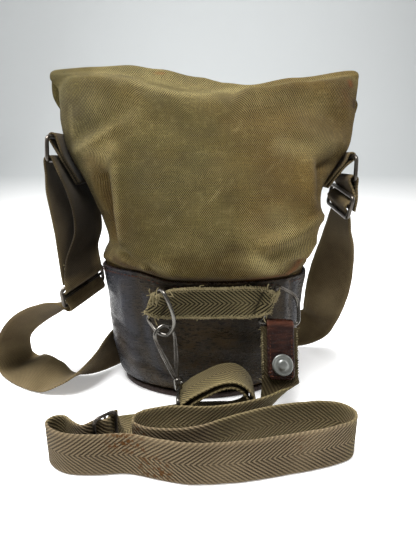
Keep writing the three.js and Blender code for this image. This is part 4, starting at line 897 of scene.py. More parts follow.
def make_materials():
    """Makes the shared groups, then every material of the bag."""
    sizes, paint = bpy.context.scene.bag_sizes, bpy.context.scene.bag_colours
    GROUPS.update(weave=plain_weave_group(), twill=herringbone_group(), grain=leather_grain_group(),
                  fields=fields_group())
    MATERIALS.update(
        canvas=canvas_material(sizes, paint),
        leather=leather_material(paint),
        tab=tab_material(paint),
        waist=twill_material(
            "Herringbone webbing", paint.twill_light, paint.twill_olive, paint.twill_dark, paint.rust_dark,
            Pitch=sizes.twill_pitch, Slope=1.27, Shear=0.0),
        band=twill_material(
            "Dark herringbone", paint.band_light, paint.band_light, paint.band_dark, paint.rust,
            Pitch=sizes.band_pitch, Slope=1.17, Shear=0.38),
        strap=strap_material(sizes, paint),
        steel=metal_material("Bare steel", paint.steel, paint.steel_worn, 0.20, 0.85),
        blued=metal_material("Blued steel", paint.blued, paint.blued_worn, 0.30, 0.6),
        zinc=metal_material("Zinc cap", paint.zinc, paint.zinc_worn, 0.40, 0.6),
        thread=thread_material("Cotton thread", paint.thread, paint.band_light),
        worn_thread=thread_material("Worn thread", paint.thread, paint.band_dark),
        dark_thread=thread_material("Waxed thread", paint.tab_worn_and_lit, paint.rim_brown))


def ring_angles(count):
    """Angles round a ring, from the middle of the front."""
    return np.arange(count) / count * 2 * math.pi - math.pi / 2


def base_size(z):
    return look_up(BASE_ROWS, 1, z), look_up(BASE_ROWS, 2, z)


def signed_power(v, e):
    return np.sign(v) * np.abs(v) ** e


def oval(angles, a, b, power=OVAL_POWER):
    return a * signed_power(np.cos(angles), 2 / power), b * signed_power(np.sin(angles), 2 / power)


def azimuth(x, y):
    return np.degrees(np.arctan2(y, x)) % 360


def rim_height(x, y):
    return look_up(RIM_ROWS, 1, azimuth(x, y))


def base_ring(z, inset, drop=None, power=OVAL_POWER):
    """Ring of the base; with a drop it follows the rim that far below it."""
    a, b = base_size(RIM_NOMINAL if drop is not None else z)
    x, y = oval(ring_angles(AROUND), a - inset, b - inset, power)
    height = np.full(AROUND, float(z)) if drop is None else rim_height(x, y) - drop
    if drop is not None:
        low_a, low_b = base_size(height)
        x, y = x * (low_a - inset) / (a - inset), y * (low_b - inset) / (b - inset)
    return np.stack([x, y, height], axis=-1)


def sack_ring(row):
    """Ring of the sack from a row of its table, with the dents pressed in."""
    z, front, fr_x, fr_y, r_x, r_y, back, fl_x, fl_y, l_x, l_y, rim, crease, ridge = row

    def part(a, b, t):
        return a + (b - a) * t

    knots = np.array([
        (0.5 * (fr_x + fl_x), front), (part(fl_x, fr_x, 0.77), part(front, fr_y, 0.16)), (fr_x, fr_y),
        (r_x, r_y), (0.8 * r_x, part(r_y, back, 0.7)), (0.45 * r_x, part(r_y, back, 0.94)), (0, back),
        (0.45 * l_x, part(l_y, back, 0.94)), (0.8 * l_x, part(l_y, back, 0.7)), (l_x, l_y), (fl_x, fl_y),
        (part(fl_x, fr_x, 0.23), part(front, fl_y, 0.16)),
    ])
    flat = catmull(knots, np.arange(AROUND) / AROUND * len(knots), True)
    x, y = flat[:, 0], flat[:, 1]
    facing = smooth((0.5 * (r_y + l_y) - y) / 14 + 0.2)
    lift = (rim_height(x, y) - RIM_NOMINAL) * rim
    lift = lift + look_up(CREST_ROWS, 1, x) * ridge * (1 - 0.6 * facing * crease)
    lift = lift + look_up(CREST_ROWS, 2, x) * crease * facing
    turn = azimuth(x, y)
    pull = np.zeros(AROUND)
    for place, height, depth, reach, up in DENT_ROWS:
        pull += depth * np.exp(-(((turn - place) / reach) ** 2 + ((z - height) / up) ** 2))
    keep = 1 - pull / np.hypot(x, y)
    return np.stack([x * keep, y * keep, z + lift], axis=-1)


def fold_ring(row):
    """Ring of the flattened mouth as it turns over to the back."""
    turn, drop, half, flare = row
    angles = ring_angles(AROUND)
    x = half * signed_power(np.cos(angles), 0.8)
    radius = FOLD_RADIUS - MOUTH_HALF * signed_power(np.sin(angles), 0.5)
    y = FOLD_Y + math.cos(math.radians(turn)) * radius
    z = FOLD_Z + math.sin(math.radians(turn)) * radius - drop + look_up(CREST_ROWS, 1, x)
    z = z - 0.04 * np.clip(np.abs(x) - 121, 0, None) ** 2
    return np.stack([x + flare * smooth((x - 96) / 28), y, z], axis=-1)


def grid_normals(grid):
    across = np.roll(grid, -1, axis=1) - np.roll(grid, 1, axis=1)
    return unit(np.cross(across, np.gradient(grid, axis=0)))


def grid_uv(grid):
    """UV in metres: round the piece from the middle of the front, and up its rows."""
    steps = np.linalg.norm(np.roll(grid, -1, axis=1) - grid, axis=-1)
    round_way = np.concatenate([np.zeros((len(grid), 1)), np.cumsum(steps, axis=1)], axis=1)
    ups = np.linalg.norm(np.diff(grid, axis=0), axis=-1).mean(axis=1)
    return round_way * MM, np.concatenate([[0.0], np.cumsum(ups)]) * MM


def lofted_wall(name, grid, thickness, material, values):
    """Soft wall through a grid of rings, its UV seam at the back, with the given thickness inwards."""
    rows, count = grid.shape[:2]
    round_way, up = grid_uv(grid)
    uvs = []
    for i in range(rows - 1):
        for k in range(count):
            for r, c in ((i, k), (i, k + 1), (i + 1, k + 1), (i + 1, k)):
                whole = round_way[r, count] if k >= count // 2 else 0.0
                uvs.append((round_way[r, c] - whole, up[r]))
    obj = build_mesh(name, grid.reshape(-1, 3), grid_faces(rows, count), uvs, values, material)
    thicken(obj, thickness)
    return obj


def canvas_rings():
    """Rings of the sack from inside the base up over the fold, the crest run into the fold."""
    rings = [base_ring(0, TUCK + 0.4, 9.0), base_ring(0, TUCK + 0.1, -0.5)]
    rings += [sack_ring(r) for r in SACK_ROWS] + [fold_ring(r) for r in FOLD_ROWS]
    rings = np.array(rings)
    x, y = rings[CREST, :, 0], rings[CREST, :, 1]
    front = smooth((16.5 - y) / 6)
    merge = (np.maximum(smooth((x - 28) / 26), smooth((-74 - x) / 22)) * front)[:, None]
    low, high = rings[CREST - 1], rings[CREST + 2]
    rings[CREST] += merge * (low + (high - low) * 0.46 - rings[CREST])
    rings[CREST + 1] += front[:, None] * (0.45 * rings[CREST] + 0.55 * high - rings[CREST + 1])
    for row, pull in ((CREST - 2, 1.5), (CREST - 1, 3.0), (CREST, 4.0)):
        rings[row, :, 0] += pull * smooth((-90 - rings[row, :, 0]) / 25)
    return rings


def canvas_coats(grid, row, above, ahead, upward):
    """Wear with painted light, stains with painted shade, rust, brown fields and painted shade of the sack.
    """
    x, y, z = grid[..., 0], grid[..., 1], grid[..., 2]
    ridge = smooth(1 - np.abs(row - CREST - 0.4) / 1.6)
    top = smooth((row - CREST) / 0.8)
    wear = strokes(grid, CANVAS_WEAR_AND_LIGHT) * np.maximum(ahead, 0.25 * top) + 0.18 * ridge
    wear = wear + 0.25 * smooth(1 - np.abs(row - row[-1]) / 0.5)
    # Painted light: paler on the flat strip over the crest and where the top faces up.
    strip = smooth((row - CREST - 0.1) / 0.5) * smooth((CREST + 4.6 - row) / 1.2)
    strip = strip * smooth((x + 96) / 14) * smooth((48 - x) / 18)
    wear = wear + 0.14 * top * np.clip(upward, 0, 1) + 0.24 * strip
    stain = strokes(grid, CANVAS_STAINS_AND_SHADE) * np.maximum(ahead, 0.3)
    # Painted shadow: a dark band just above the leather rim, under the canvas's bulge.
    stain = stain + 0.85 * np.exp(-np.clip(above, 0, None) / 2.6)
    stain = stain + 0.10 * np.clip(waves(grid, 21, 30.0), 0, None)
    rust = strokes(grid, CANVAS_RUST) * np.maximum(ahead, 0.4)
    brown = 0.5 + ahead * (0.14 + 0.5 * np.tanh((x - 34) / 32) + 0.5 * smooth((132 - z) / 14))
    brown = brown + strokes(grid, CANVAS_BROWN) * smooth((12 - y) / 12)
    # The dark coat is painted shade.
    return clipped(wear=wear, stain=stain, rust=rust, brown=brown, dark=strokes(grid, CANVAS_PAINTED_SHADE) * ahead)


def canvas_grid():
    """Fine grid of the sack with its folds and gathers, and its coats."""
    rings = canvas_rings()
    row = between(len(rings), 6)[:, None]
    grid = catmull(rings, row[:, 0])
    normals = grid_normals(grid)
    ahead, behind = np.clip(-normals[..., 1] * 2.0, 0, 1), np.clip(normals[..., 1] * 2.0, 0, 1)
    body = smooth((row - TUCK_ROWS) / 1.5) * smooth((CREST + 1.3 - row) / 1.2)
    relief = strokes(grid, FRONT_FOLDS) * ahead + strokes(grid, BACK_FOLDS) * behind
    relief = relief + 0.55 * waves(grid, 3, 46.0) + 0.22 * waves(grid, 8, 17.0)
    above = grid[..., 2] - rim_height(grid[..., 0], grid[..., 1])
    round_way, _ = grid_uv(grid)
    gather = np.sin(round_way[:, :-1] / GATHER_PITCH * 2 * math.pi + 2.2 * waves(grid, 5, 60.0))
    relief = relief + 0.55 * gather * np.exp(-np.clip(above, 0, None) / 9.0) * smooth(above / 4.0)
    grid = grid + normals * (relief * body)[..., None]
    return grid, canvas_coats(grid, row, above, ahead, normals[..., 2])


class BAG_OT_canvas_sack(bpy.types.Operator):
    """Canvas sack with its folded top"""
    bl_idname = "bag.canvas_sack"
    bl_label = "Canvas sack"

    def execute(self, context):
        grid, values = canvas_grid()
        obj = lofted_wall("canvas_sack", grid, context.scene.bag_sizes.canvas_thickness,
                          MATERIALS["canvas"], values)
        finish_piece(obj, "canvas", "canvas_body")
        return {"FINISHED"}


def leather_grid():
    """Fine grid of the leather cup with its creases, and its coats."""
    rows = [base_ring(z, inset, power=power) for z, inset, power in FOOT_ROWS]
    rows += [base_ring(z, 0) for z in (46, 58, 70, 82)]
    rows += [base_ring(0, 0, d) for d in (14, 6, 1.4, 0.3)] + [base_ring(0, 0.9, 0.0)]
    row = between(len(rows), 4)[:, None]
    rim = row - row[-1]
    grid = catmull(rows, row[:, 0])
    normals = grid_normals(grid)
    ahead = np.clip(-normals[..., 1] * 2.0 + 0.3, 0, 1)
    body = smooth((row - 2.5) / 1.5) * smooth((-1.2 - rim) / 1.5)
    relief = strokes(grid, LEATHER_FOLDS) * ahead
    relief = relief + 0.35 * waves(grid, 31, 40.0) + 0.15 * waves(grid, 32, 14.0)
    grid = grid + normals * (relief * body)[..., None]
    x, z = grid[..., 0], grid[..., 2]
    # Painted sheen: paler on the left and right of the cup and along the sheen strokes; the rim and ridges
    # are scuffed.
    wear = 0.52 * smooth((-x - 42) / 20) + 0.15 * smooth((x - 62) / 18) + strokes(grid, LEATHER_SHEEN) * ahead
    wear = wear + 0.5 * smooth((rim + 1.2) / 1.2)
    wear = wear + 0.15 * np.clip(relief, 0, None) + 0.10 * waves(grid, 33, 20.0)
    stain = 0.35 * smooth((14 - z) / 8) * np.clip(waves(grid, 34, 25.0), 0, 1)
    stain = stain + 0.9 * smooth((rim + 1.0) / 0.8)
    brown = strokes(grid, LEATHER_BROWN) * ahead + 0.12 * waves(grid, 35, 18.0)
    # The dark coat is painted shade and dark reflection.
    return grid, clipped(wear=wear, stain=stain, brown=brown, dark=strokes(grid, LEATHER_PAINTED_SHADE) * ahead)


class BAG_OT_leather_base(bpy.types.Operator):
    """Leather cup and its sole"""
    bl_idname = "bag.leather_base"
    bl_label = "Leather base"

    def execute(self, context):
        grid, values = leather_grid()
        obj = lofted_wall("leather_cup", grid, context.scene.bag_sizes.leather_thickness,
                          MATERIALS["leather"], values)
        finish_piece(obj, "base_leather", "leather_base")
        rings = []
        for height, inset, _ in SOLE_ROWS:
            x, y = oval(ring_angles(AROUND), SOLE_WIDE - inset, SOLE_DEEP - inset, SOLE_POWER)
            rings.append(np.stack([x, y, np.full(AROUND, float(height))], axis=-1))
        wear = np.repeat([r[2] for r in SOLE_ROWS], AROUND)
        values = {"wear": wear, "stain": 0.4 * wear, "brown": 0.4 * wear, "dark": 0 * wear}
        sole = ring_solid("leather_sole_plate", rings, MATERIALS["leather"], values=values)
        finish_piece(sole, "sole_leather", "leather_sole")
        return {"FINISHED"}


def strap_rows(rows, step=FINE_STEP):
    """Centres and width directions along a strap given as rows."""
    rows = np.array([r[:6] for r in rows], float)
    widths = unit(rows[:, 3:6])
    at = []
    for i in range(len(rows) - 1):
        span = np.linalg.norm(rows[i + 1, :3] - rows[i, :3])
        turn = math.acos(np.clip(widths[i] @ widths[i + 1], -1, 1))
        steps = max(2, math.ceil(span / step), math.ceil(turn / 0.1))
        at += [i + s / steps for s in range(steps)]
    at = np.array(at + [len(rows) - 1.0])
    return catmull(rows[:, :3], at), unit(catmull(widths, at))


def strap_face(centres, widths):
    """Directions out of a strap's face."""
    return unit(np.cross(unit(np.gradient(centres, axis=0)), widths))


def strap_line(centres, widths, place, lift):
    """Line along a strap at a place across its width, lifted off its face."""
    widths = unit(widths)
    return centres + widths * place + strap_face(centres, widths) * lift


def webbing(name, centres, widths, spans, thick, look, seed, paint, wobble):
    """Flat webbing with thickened edges, and a UV in metres along it; gives the piece and its length."""
    widths = unit(widths)
    face = strap_face(centres, widths)
    half = 0.5 * np.broadcast_to(np.asarray(spans, float), (len(centres),))[:, None] * SIDES
    length = np.concatenate([[0], np.cumsum(np.linalg.norm(np.diff(centres, axis=0), axis=-1))])
    centres = centres + face * (wobble * waves(centres, seed, 38.0))[:, None]
    edge = 0.8 * wobble * waves(centres, seed + 1, 13.0)
    reach = half + edge[:, None] * np.sign(SIDES) * SELVEDGE
    rings = centres[:, None, :] + widths[:, None, :] * reach[..., None]
    rings = rings + face[:, None, :] * (0.5 * thick * RISES)[None, :, None]
    uv = np.stack([half * MM, np.repeat(length[:, None], len(SIDES), axis=1) * MM], axis=-1)
    wear = 0.55 * SELVEDGE + 0.22 * np.clip(waves(rings, seed + 2, 34.0), 0, None)
    coats = {"wear": wear, "stain": 0 * wear, "dark": 0 * wear, "tone": 0 * wear}
    for key, more in paint(rings, length).items():
        coats[key] = coats[key] + more
    return ring_solid(name, rings, MATERIALS[look], uv, clipped(**coats)), float(length[-1])


def slider_frame(place):
    """Centre of a slider and its directions across, along and out of the strap."""
    centre, across, along = (np.array(p, float) for p in place[:3])
    across = unit(across)
    along = unit(along - across * (along @ across))
    return centre, across, along, unit(np.cross(across, along))


def woven(place, scale, sign, clearance):
    """Rows of a strap that goes over and under a slider."""
    centre, across, along, face = slider_frame(place)
    return [tuple(centre + along * a * scale + face * f * sign * clearance) + tuple(across)
            for a, f in WEAVE_ROWS]


def round_bar(x, y, z, width_y, radius, start, end, steps):
    """Rows of a strap that turns round a bar along y, from one angle to another."""
    rows = []
    for s in range(steps + 1):
        angle = math.radians(start + (end - start) * s / steps)
        rows.append((x + radius * math.cos(angle), y, z + radius * math.sin(angle), 0, width_y, 0))
    return rows


def shoulder_paint(rings, length):
    """Painted shade on the shoulder strap's left runs; paler where it lies on the floor and at the right."""
    x, z = rings[..., 0], rings[..., 2]
    left = smooth((-90 - x) / 8) * smooth((z - 96) / 10)
    inner = smooth((x + 116.5) / 4) * left
    right = smooth((x - 95) / 8) * smooth((z - 30) / 20) * smooth((150 - z) / 20)
    ground = smooth((-115 - x) / 20) * smooth((36 - z) / 16)
    # The dark coat is painted shade; the floor run and right rise are paler.
    return {"dark": 0.45 * left + 0.60 * inner, "wear": 0.75 * ground + 0.2 * right}


def shoulder_rows():
    """Rows of the shoulder strap from the left ring round the back to the right ring."""
    turn = WIRE + 0.25 + 2 * GAP + SHOULDER_HALF
    clear = LEFT_SLIDER[-1] + GAP + SHOULDER_HALF
    (lx, ly, _, ll, lean_l), (rx, ry, _, rl, lean_r) = RING_LEFT, RING_RIGHT
    return (LEFT_OUTER + round_bar(lx + lean_l, ly, ll, 1, turn, 175, 5, 5) + LEFT_INNER
            + woven(LEFT_SLIDER, 1, 1, clear) + LEFT_ARCH + FLOOR_RUN + BACK_RUN + RIGHT_RISE
            + woven(RIGHT_SLIDER, 1, 1, clear)[1:4] + round_bar(rx + lean_r, ry, rl, -1, turn, 190, -10, 5)
            + RIGHT_OUTER)


class BAG_OT_shoulder_strap(bpy.types.Operator):
    """Shoulder strap and the two side tabs"""
    bl_idname = "bag.shoulder_strap"
    bl_label = "Shoulder strap"

    def execute(self, context):
        sizes = context.scene.bag_sizes
        centres, widths = strap_rows(shoulder_rows())
        obj, length = webbing("shoulder_webbing", centres, widths, sizes.shoulder_width / MM,
                              sizes.shoulder_thickness / MM, "strap", 41, shoulder_paint, 0.15)
        finish_piece(obj, "shoulder_webbing", "shoulder_strap")
        for side, ring, tab in (("left", RING_LEFT, SIDE_TAB_LEFT), ("right", RING_RIGHT, SIDE_TAB_RIGHT)):
            inner, (start, end), outer = tab
            y = ring[1] + SIDE_TAB_BACK
            bar = round_bar(ring[0], y, ring[2], 1, RING_WIRE + GAP + SHOULDER_HALF, start, end, 5)
            rows = [(x, y, z, 0, 1, 0) for x, z in inner] + bar + [(x, y, z, 0, 1, 0) for x, z in outer]
            centres, widths = strap_rows(rows, 1.5)
            piece, length = webbing("side_tab_webbing_" + side, centres, widths, sizes.side_tab_width / MM,
                                    SIDE_TAB_THICK, "strap", 51, shoulder_paint, 0.05)
            finish_piece(piece, "shoulder_webbing", "side_tab_" + side)
        return {"FINISHED"}


def tab_axes():
    """Directions down the leather tab, across it and out of its face."""
    down, side = unit(np.array(TAB_DOWN)), unit(np.array(TAB_SIDE))
    return down, side, -unit(np.cross(side, down))


def on_tab(down, face, side=0.0):
    """Place on the leather tab, measured from the top of its fold."""
    d, s, f = tab_axes()
    return TAB_TOP + d * down + f * face + s * side


def tab_rows(places):
    """Strap rows down the leather tab's middle, from places down it and out of its face."""
    _, side, _ = tab_axes()
    return [tuple(on_tab(d, f)) + tuple(side) for d, f in places]


def waist_path():
    """Centres and width directions of the waist strap, with its doubled end."""
    rows = tab_rows(DROP_ROWS) + TWIST_ROWS
    rows += [(x, y, EDGE_MIDDLE, 0, 0, 1) for x, y in EDGE_ROWS]
    rows += woven(WAIST_SLIDER, 0.8, -1, WAIST_SLIDER[-1] + GAP + WAIST_HALF)
    first, first_widths = strap_rows(rows)
    middle, widths = strap_rows(CORE_ROWS)
    halves = [r[6] for r in CORE_ROWS]
    half = np.interp(np.linspace(0, 1, len(middle)), np.linspace(0, 1, len(halves)), halves)
    apart = strap_face(middle, widths) * half[:, None]
    turned = np.array(round_bar(EYE_X, EYE_Y, EYE_Z, 1, EYE_WIRE + GAP + WAIST_HALF, 130, 310, 12))
    back, back_widths = (middle + apart)[::-1][:-CORE_SHORT], widths[::-1][:-CORE_SHORT]
    centres = np.concatenate([first, middle - apart, turned[:, :3], back])
    return centres, np.concatenate([first_widths, widths, turned[:, 3:6], back_widths])


def waist_paint(rings, length):
    """Rust specks and paler tone of the waist strap's front; painted shade below the tab and on its doubled
    end, darker on its arch and the left of its front.
    """
    x, y, z = rings[..., 0], rings[..., 1], rings[..., 2]
    front = smooth((-118 - y) / 6)
    stain = np.zeros_like(x)
    for px, pz, amount, reach in WAIST_SPOTS:
        stain += amount * np.exp(-(((x - px) / reach) ** 2 + ((z - pz) / (0.8 * reach)) ** 2))
    drop = (smooth((62 - length) / 16) + 0.6 * smooth((length - length[-1] + 70) / 20))[:, None]
    middle = (1 - front) * smooth((-84 - y) / 8)
    arch = (1 - front) * smooth((z - 22) / 8) * smooth((y + 84) / 8) * (1 - np.clip(drop, 0, 1))
    # Painted shade below the tab and on the doubled end's returning layer; darker on the arch and the left of
    # the front.
    dark = 0.95 * drop * (1 - front) + 0.34 * arch + 0.16 * front * smooth((-40 - x) / 30)
    return {"stain": stain * front, "dark": dark, "wear": 0.06 * front + 0.22 * middle,
            "tone": front + 0.45 * middle}


class BAG_OT_waist_strap(bpy.types.Operator):
    """Herringbone waist strap from the tab to the hook"""
    bl_idname = "bag.waist_strap"
    bl_label = "Waist strap"

    def execute(self, context):
        sizes = context.scene.bag_sizes
        centres, widths = waist_path()
        obj, length = webbing("waist_webbing", centres, widths, sizes.waist_width / MM,
                              sizes.waist_thickness / MM, "waist", 61, waist_paint, 0.12)
        finish_piece(obj, "waist_webbing", "waist_strap")
        return {"FINISHED"}


def front_wall(x, z, out):
    """Place in front of the base, this far out from its wall."""
    a, b = base_size(z)
    a, b = a + out, b + out
    return np.array((x, -b * (1 - abs(x / a) ** OVAL_POWER) ** (1 / OVAL_POWER), z))


def band_stations():
    """Low and high edge of the front band along its length, round both ring bars."""
    left = [(BAND_LEFT_BAR + r[0], r[1], r[2], r[3]) for r in BAND_END]
    right = [(BAND_RIGHT_BAR - r[0], r[1], r[2], r[3]) for r in reversed(BAND_END)]
    rows = left + [(x, BAND_INNER, 0, 0) for x in (-4, 6, 16)] + right
    lows, highs = [], []
    for x, out, trim_low, trim_high in rows:
        low, high = front_wall(x - BAND_SHEAR, BAND_LOW, out), front_wall(x + BAND_SHEAR, BAND_HIGH, out)
        width = unit(high - low)
        lows.append(low + width * trim_low)
        highs.append(high - width * trim_high)
    at = np.linspace(0, len(rows) - 1, (len(rows) - 1) * 5 + 1)
    return catmull(lows, at), catmull(highs, at)


def band_paint(rings, length):
    """Painted shadow line at the edge of each folded end of the band."""
    ends = np.minimum(length, length[-1] - length)
    return {"dark": np.exp(-((ends - BAND_SHADOW_LINE) / 1.3) ** 2)[:, None]}


class BAG_OT_front_band(bpy.types.Operator):
    """Herringbone band across the front of the base"""
    bl_idname = "bag.front_band"
    bl_label = "Front band"

    def execute(self, context):
        low, high = band_stations()
        spans = np.linalg.norm(high - low, axis=-1)
        obj, length = webbing("band_webbing", (low + high) / 2, high - low, spans, BAND_THICK, "band", 71,
                              band_paint, 0.0)
        finish_piece(obj, "band_webbing", "front_band")
        return {"FINISHED"}


def rounded_loop(corners, reach, steps=8):
    """Points of a loop with its corners rounded; reach is one number or one for each corner."""
    corners = np.array(corners, float)
    count, points = len(corners), []
    for i, corner in enumerate(corners):
        into, away = corners[i - 1] - corner, corners[(i + 1) % count] - corner
        bend = reach[i] if isinstance(reach, list) else reach
        a = corner + into * min(0.48, bend / np.linalg.norm(into))
        b = corner + away * min(0.48, bend / np.linalg.norm(away))
        for s in range(steps + 1):
            t = s / steps
            points.append((1 - t) ** 2 * a + 2 * t * (1 - t) * corner + t * t * b)
    return np.array(points)


def densify(points, closed, step=2.0):
    """Points with more between them, so that none is much further than a step from the next."""
    points = np.asarray(points, float)
    ends = np.concatenate([points, points[:1]]) if closed else points
    out = []
    for a, b in zip(ends[:-1], ends[1:]):
        count = max(1, int(np.linalg.norm(b - a) / step))
        out += [a + (b - a) * s / count for s in range(count)]
    if not closed:
        out.append(ends[-1])
    return np.array(out)


def wire(points, radius, facing, closed=True, sides=14, squash=1.0):
    """Run of rings of a wire along points; squash flattens it across the loop's plane."""
    if closed:
        along = unit(np.roll(points, -1, axis=0) - np.roll(points, 1, axis=0))
    else:
        along = unit(np.gradient(points, axis=0))
    across = unit(np.cross(along, np.asarray(facing, float)))
    up = unit(np.cross(across, along))
    angles = np.arange(sides) / sides * 2 * math.pi
    radius = np.broadcast_to(np.asarray(radius, float), (len(points),))[:, None]
    rings = points[:, None, :] + across[:, None, :] * (np.cos(angles) * radius)[..., None]
    return rings + up[:, None, :] * (np.sin(angles) * radius * squash)[..., None], closed


def slider_shells(place):
    """Frame and centre bar of a slider."""
    centre, across, along, face = slider_frame(place)
    half, reach, radius = place[3:6]
    signs = ((-1, -1), (1, -1), (1, 1), (-1, 1))
    corners = [centre + across * a * half + along * b * reach for a, b in signs]
    loop = densify(rounded_loop(corners, 4), True)
    bar = densify([centre - across * half, centre + across * half], False)
    return [wire(loop, radius, face), wire(bar, radius * 0.85, face, False)]


def bar_end(bar, z):
    """Place on the slanting bar of a D-ring at a height."""
    slope = BAND_SHEAR / (0.5 * (BAND_HIGH - BAND_LOW))
    return front_wall(bar + (z - 0.5 * (BAND_HIGH + BAND_LOW)) * slope, z, BAND_BAR)


def hook_shells():
    """Loop, barrel, knob, spring and eye of the snap hook."""
    facing = unit(np.array((0.55, -0.8, 0.2)))
    loop = densify(rounded_loop(HOOK_LOOP, 7), True, 1.5)
    fuller = 1.0 + 0.22 * smooth((loop[:, 2] - 30) / 10) * smooth((62 - loop[:, 2]) / 10)
    low, high = np.array(BARREL_LOW), np.array(BARREL_HIGH)
    t = np.linspace(0, 1, 13)
    swell = 2.5 + 0.5 * np.abs(np.sin(t * math.pi * 2.5)) ** 0.5
    swell[0], swell[-1] = 1.6, 1.6
    out = unit(np.array((0.85, -0.45, 0.1)))
    knob = np.array([low + (high - low) * 0.62 + out * d for d, _ in KNOB_ROWS])
    spring = catmull(SPRING_ROWS, np.linspace(0, 2, 15))
    near, far = EYE_Y - EYE_HALF, EYE_Y + EYE_HALF
    eye = [(-19, near, 27), (EYE_X, near, EYE_Z), (EYE_X, far, EYE_Z), (-19, far, 27)]
    return [
        wire(loop, WIRE * fuller, facing, squash=0.85),
        wire(low + (high - low) * t[:, None], swell, (1, 0, 0), False, 18),
        wire(knob, [r for _, r in KNOB_ROWS], (0, 0, 1), False),
        wire(spring, 0.55, facing, False, 8),
        wire(densify(rounded_loop(eye, 3, 6), True, 1.5), EYE_WIRE, (1, 0, 0.2)),
    ]


def wire_pieces():
    """Name, runs of rings, material, slot and CAD node of every piece of wire."""
    left = [bar_end(BAND_LEFT_BAR, BAND_LOW - 1.5), bar_end(BAND_LEFT_BAR, BAND_HIGH - 0.5)] + LEFT_BOW
    right = [bar_end(BAND_RIGHT_BAR, BAND_HIGH - 0.5), bar_end(BAND_RIGHT_BAR, BAND_LOW - 0.5)] + RIGHT_BOW
    rings = (("left", left, LEFT_REACH, (0.2, -1, 0)), ("right", right, RIGHT_REACH, (0.4, -1, 0)))
    for side, corners, reach, facing in rings:
        loop = densify(rounded_loop(corners, reach), True, 1.5)
        yield "d_ring_wire_" + side, [wire(loop, WIRE, facing)], "steel", "steel", "d_ring_" + side
    for side, (x, y, top, low, lean) in (("left", RING_LEFT), ("right", RING_RIGHT)):
        near, far = y - RING_HALF, y + RING_HALF
        corners = [(x, near, top), (x, far, top), (x + lean, far, low), (x + lean, near, low)]
        shell = wire(densify(rounded_loop(corners, 5), True), RING_WIRE, (1, 0, 0))
        yield "side_ring_wire_" + side, [shell], "blued", "dark_steel", "side_ring_" + side
    for side, place in (("left", LEFT_SLIDER), ("right", RIGHT_SLIDER)):
        shells = slider_shells(place)
        yield "strap_slider_wire_" + side, shells, "blued", "dark_steel", "strap_slider_" + side
    yield "waist_slider_wire", slider_shells(WAIST_SLIDER), "blued", "dark_steel", "waist_slider"
    yield "snap_hook_wire", hook_shells(), "steel", "steel", "snap_hook"


class BAG_OT_metal_fittings(bpy.types.Operator):
    """Rings, sliders, snap hook and stud"""
    bl_idname = "bag.metal_fittings"
    bl_label = "Metal fittings"

    def execute(self, context):
        for name, shells, look, slot, node in wire_pieces():
            finish_piece(join_shells(name, shells, MATERIALS[look]), slot, node)
        down, side, face = tab_axes()
        centre = on_tab(STUD_DOWN, TAB_FACE + GAP, 0.4)
        angles = (np.arange(48) / 48 * 2 * math.pi)[:, None]
        spoke = down * np.cos(angles) + side * np.sin(angles)
        rings = [centre + face * h + spoke * r for r, h in STUD_ROWS]
        stud = ring_solid("stud_cap", rings, MATERIALS["zinc"])
        finish_piece(stud, "zinc", "snap_stud")
        return {"FINISHED"}


def tab_paint(rings, length):
    """Wear at the leather tab's foot, a painted highlight along its fold, less elsewhere and at its rim."""
    left = (length[-1] - length)[:, None]
    foot, fold = np.exp(-(left / 1.2) ** 2), np.exp(-((left - TAB_FRONT) / 1.6) ** 2)
    # The fold term is a painted highlight.
    return {"wear": 0.3 * foot + 0.55 * fold - 0.25 * (1 - fold) - 0.32 * SELVEDGE}


class BAG_OT_leather_tab(bpy.types.Operator):
    """Polished leather tab folded over the right D-ring"""
    bl_idname = "bag.leather_tab"
    bl_label = "Leather tab"

    def execute(self, context):
        sizes = context.scene.bag_sizes
        centres, widths = strap_rows(tab_rows(TAB_ROWS), 1.2)
        width = sizes.tab_width / MM
        left = np.linalg.norm(centres - centres[-1], axis=-1)
        spans = width - 5.0 * smooth((3.4 - left) / 3.4)
        spans[: len(spans) // 3] = width
        obj, length = webbing("tab_leather_fold", centres, widths, spans, sizes.tab_thickness / MM, "tab", 81,
                              tab_paint, 0.0)
        finish_piece(obj, "tab_leather", "leather_tab")
        return {"FINISHED"}


def geometry_tree(name, **inputs):
    """Geometry tree that grows pieces on a path."""
    entry = {"Path": "Geometry", "Pitch": "Float", "Length": "Float"}
    entry.update(inputs, Seed="Int", Material="Material")
    return new_tree(name, "GeometryNodeTree", entry, {"Pieces": "Geometry"})


def random_between(net, low, high, seed):
    """Random value for each point, a number or a vector like its limits."""
    vector = isinstance(low, tuple)
    first = 0 if vector else 2
    inputs = {first: low, first + 1: high, "Seed": seed}
    made = net.node("FunctionNodeRandomValue", inputs, data_type="FLOAT_VECTOR" if vector else "FLOAT")
    return made.outputs[0 if vector else 1]


def place_along(net, enter, leave, piece, turn, scale):
    """Puts a piece at every step of the path, turned from its direction, and ends the tree."""
    path = net.node("GeometryNodeResampleCurve", {"Curve": enter["Path"], "Length": enter["Pitch"]},
                    mode="LENGTH")
    tangent = net.node("GeometryNodeInputTangent").outputs[0]
    aligned = net.node("FunctionNodeAlignRotationToVector", {"Vector": tangent}, axis="X")
    turned = net.node("FunctionNodeRotateRotation", {"Rotation": aligned.outputs[0], "Rotate By": turn},
                      rotation_space="LOCAL")
    placed = net.node("GeometryNodeInstanceOnPoints", {
        "Points": path.outputs[0], "Instance": piece, "Rotation": turned.outputs[0], "Scale": scale})
    real = net.node("GeometryNodeRealizeInstances", {"Geometry": placed.outputs[0]})
    dressed = net.node("GeometryNodeSetMaterial", {
        "Geometry": real.outputs[0], "Material": enter["Material"]})
    net.link(dressed.outputs[0], leave[0])
    return net.tree


